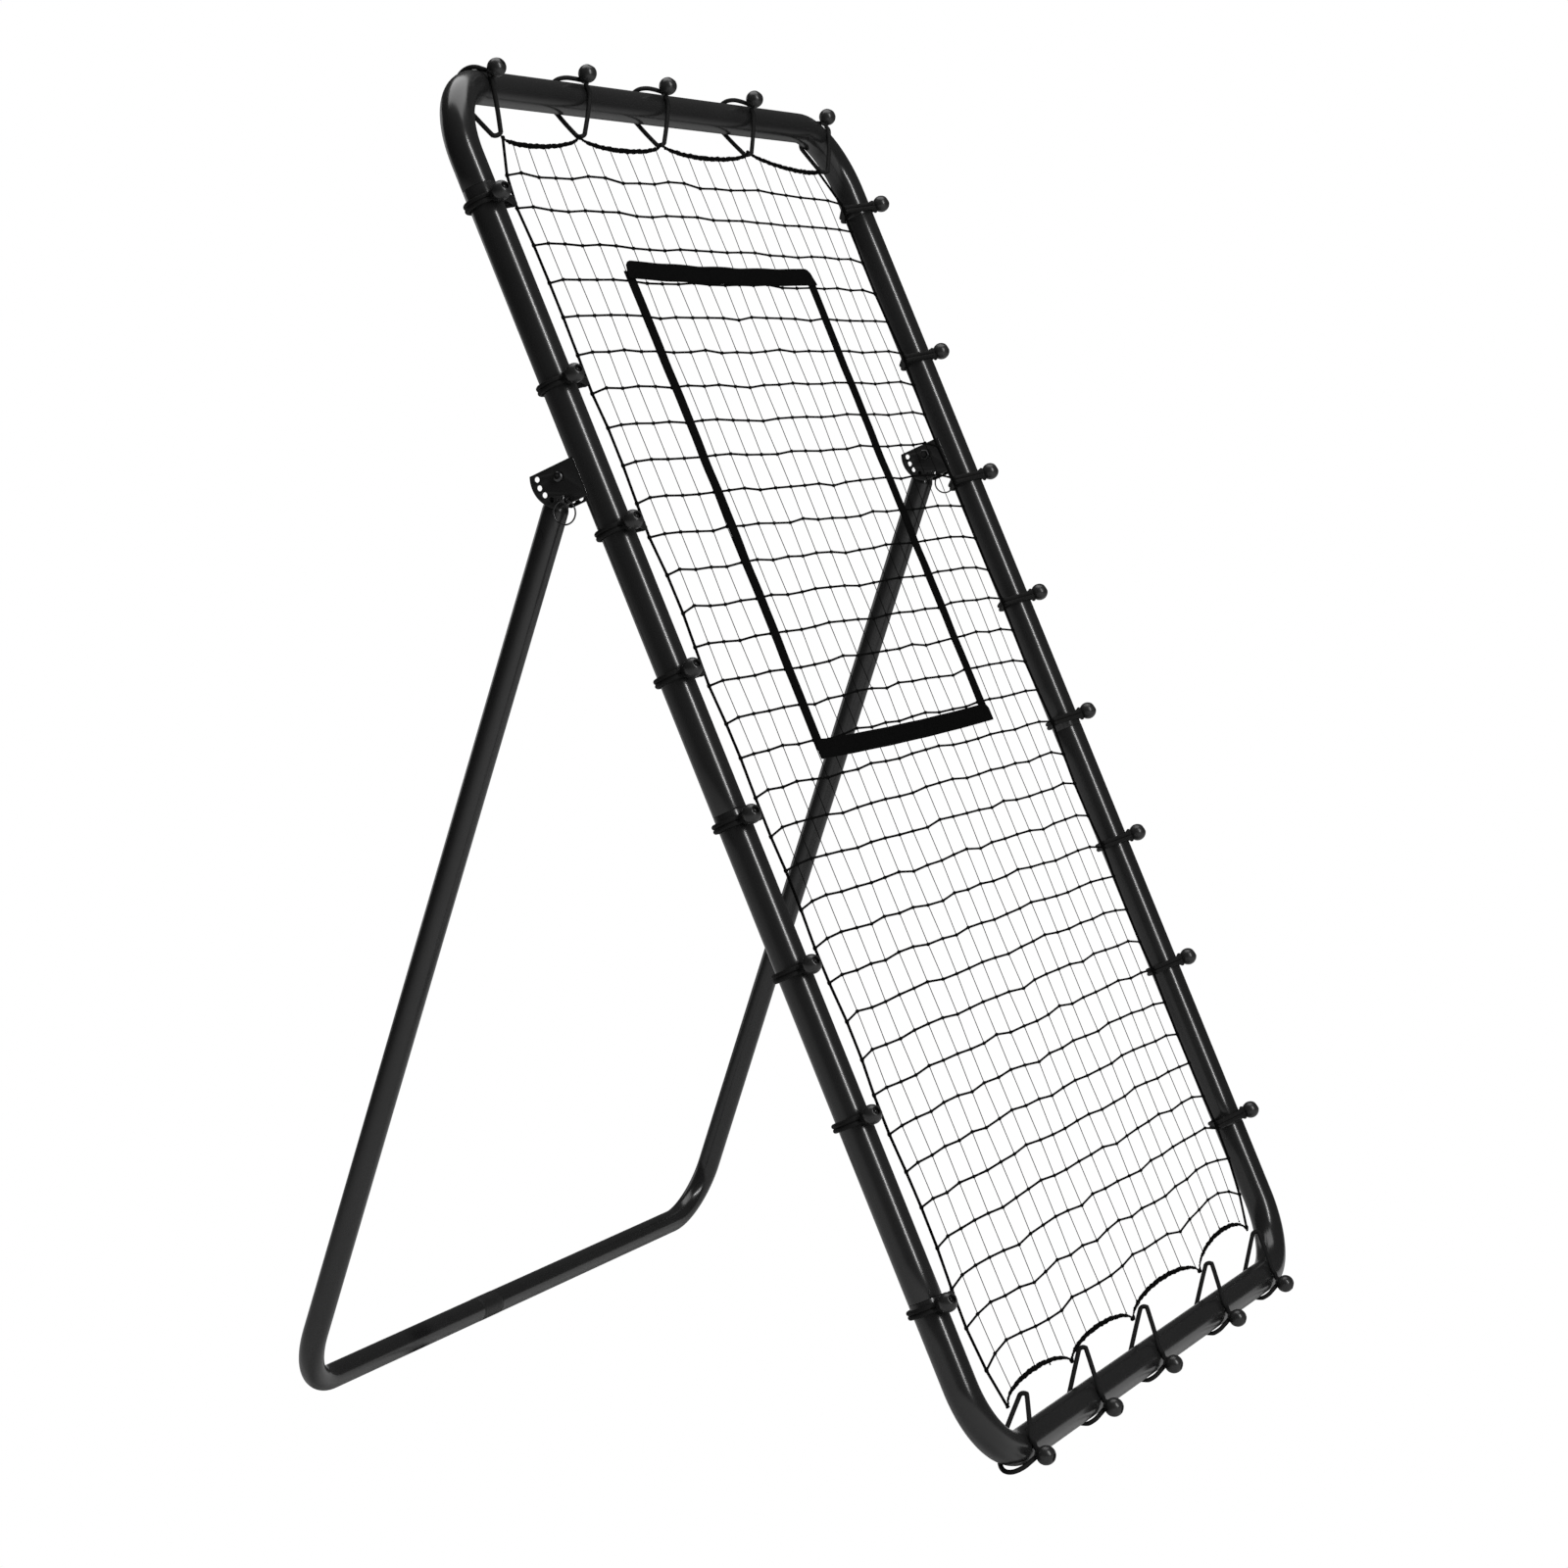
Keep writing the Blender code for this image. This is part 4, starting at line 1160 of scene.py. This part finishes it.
def ribbon(shape, line, across, corner=0.0, columns=10):
    """A webbing band along a line, with thin selvedges and rounded outer corners at both ends."""
    size = 2 * (columns + 1)
    places = [j / columns * WEBBING for j in range(columns + 1)]
    places += places[::-1]
    points, lengths = [], [0.0]
    for a, b in zip(line, line[1:]):
        lengths.append(lengths[-1] + (b - a).length)
    for centre in line:
        end = min((centre - line[0]).length, (line[-1] - centre).length)
        cut = corner * (1 - (1 - (1 - min(end / corner, 1.0)) ** 2) ** 0.5) if corner else 0.0
        low, high = -WEBBING / 2, WEBBING / 2 - cut
        front, back = [], []
        for j in range(columns + 1):
            t = j / columns * 2 - 1
            thick = Vector((0, 0, WEBBING_THICK / 2 * (1 - abs(t) ** 8 * 0.45)))
            middle = centre + across * ((low + high) / 2 + t * (high - low) / 2)
            front.append(middle + thick)
            back.append(middle - thick)
        points.extend(FRAME @ p for p in front + back[::-1])
    faces, uvs = wrap(len(line), size, lengths, around=places + places[:1])
    faces += end_faces(len(line), size)
    uvs += [tuple((place, at) for place in places) for at in (0.0, lengths[-1])]
    shape.add(points, faces, uvs)


def strap_line(start, end, bow, pucker, lift, count=90):
    """A strap's middle line between two corners, bowed in the net's plane and puckered."""
    start, end = Vector(start), Vector(end)
    line = []
    for i in range(count + 1):
        t = i / count
        point = start + (end - start) * t
        point += Vector(bow) * (4 * t * (1 - t))
        point.z = WEBBING_FRONT + lift + pucker * sin(t * 29) * sin(pi * t)
        point.z += 0.2 * MM * sin(t * 61) * sin(pi * t)
        line.append(point)
    return line


def make_zone(webbing, thread):
    """Four straps with two rows of stitches each. The crossing straps lie over the upright ones."""
    half = WEBBING / 2
    w, low, high = ZONE_HALF_WIDTH, ZONE_LOW, ZONE_HIGH
    straps = {
        "top": ((-w - half + 3 * MM, high, 0), (w + half, high, 0), (0, -4 * MM, 0), 1.4 * MM, (0, 1, 0)),
        "bottom": ((-w - half, low, 0), (w + half, low, 0), (0, -3 * MM, 0), 0.9 * MM, (0, 1, 0)),
        "left": ((-w, low, 0), (-w, high - 2 * MM, 0), (3 * MM, 0, 0), 0.4 * MM, (1, 0, 0)),
        "right": ((w, low, 0), (w, high - 2 * MM, 0), (-3 * MM, 0, 0), 0.4 * MM, (1, 0, 0)),
    }
    for word, (start, end, bow, pucker, across) in straps.items():
        shape = Shape()
        lift = 1.9 * MM if word in ("top", "bottom") else 0.0
        line = strap_line(start, end, bow, pucker, lift)
        corner = {"top": 22 * MM, "bottom": 7 * MM}.get(word, 0.0)
        ribbon(shape, line, Vector(across), corner)
        strap = shape.made(f"zone_strap_{word}_web", webbing, "frame", [f"zone_strap_{word}"], "webbing")
        stitches = Shape()
        for edge in (-1, 1):
            add_stitches(stitches, line[8:-8], Vector(across) * edge * (half - 2.4 * MM))
        sewn = stitches.made(f"zone_stitches_{word}", thread, "frame", slot="webbing", sharp=60)


def add_stitches(shape, line, offset):
    """A row of lockstitches along a strap."""
    pitch = 4.5 * MM
    lift = Vector((0, 0, WEBBING_THICK / 2 + 0.1 * MM))
    dip = Vector((0, 0, -0.25 * MM))
    for a, b in zip(line, line[1:]):
        steps = max(1, round((b - a).length / pitch))
        for i in range(steps):
            start = a + (b - a) * ((i + 0.12) / steps)
            end = a + (b - a) * ((i + 0.82) / steps)
            path = [start + offset + lift + dip, start + (end - start) * 0.3 + offset + lift,
                    start + (end - start) * 0.7 + offset + lift, end + offset + lift + dip]
            sweep(shape, [FRAME @ p for p in path], 0.32 * MM, 5)


# ---- the whole scene --------------------------------------------------------------------
def main():
    """Everything, in order."""
    make_camera()
    make_studio()
    coat = powder_coat()
    metal = hardware_finish()
    plastic = ball_plastic()
    bungee_cord = braid("bungee_cord", (0.009, 0.009, 0.009), 6, 4 * MM, CORD_R, 0.5)
    row_twine = twine("net_twine", (0.0015, 0.0015, 0.0015), 2, 3.5 * MM, ROW_CORD_R)
    column_twine = twine("net_fine_twine", (0.003, 0.003, 0.003), 2, 2.4 * MM, COLUMN_CORD_R)
    hem_twine = twine("net_hem_twine", (0.0015, 0.0015, 0.0015), 3, 4 * MM, HEM_R)
    thread = twine("sewing_thread", (0.004, 0.004, 0.004), 2, 1.2 * MM, 0.3 * MM)
    make_frame_tubes(coat)
    make_stand(coat, joint_plastic())
    for side, word in ((-1, "left"), (1, "right")):
        middle = PLATE_INNER + PLATE / 2
        make_plate(f"plate_outer_{word}", side * (HALF_WIDTH + middle), coat)
        make_plate(f"plate_inner_{word}", side * (HALF_WIDTH - middle), coat)
        make_welds(side, word, coat)
        make_bolt(side, word, metal)
        make_pin(side, word, metal)
    make_net(row_twine, column_twine, hem_twine)
    make_zone(webbing_weave(), thread)
    make_bungees(bungee_cord, plastic)


main()
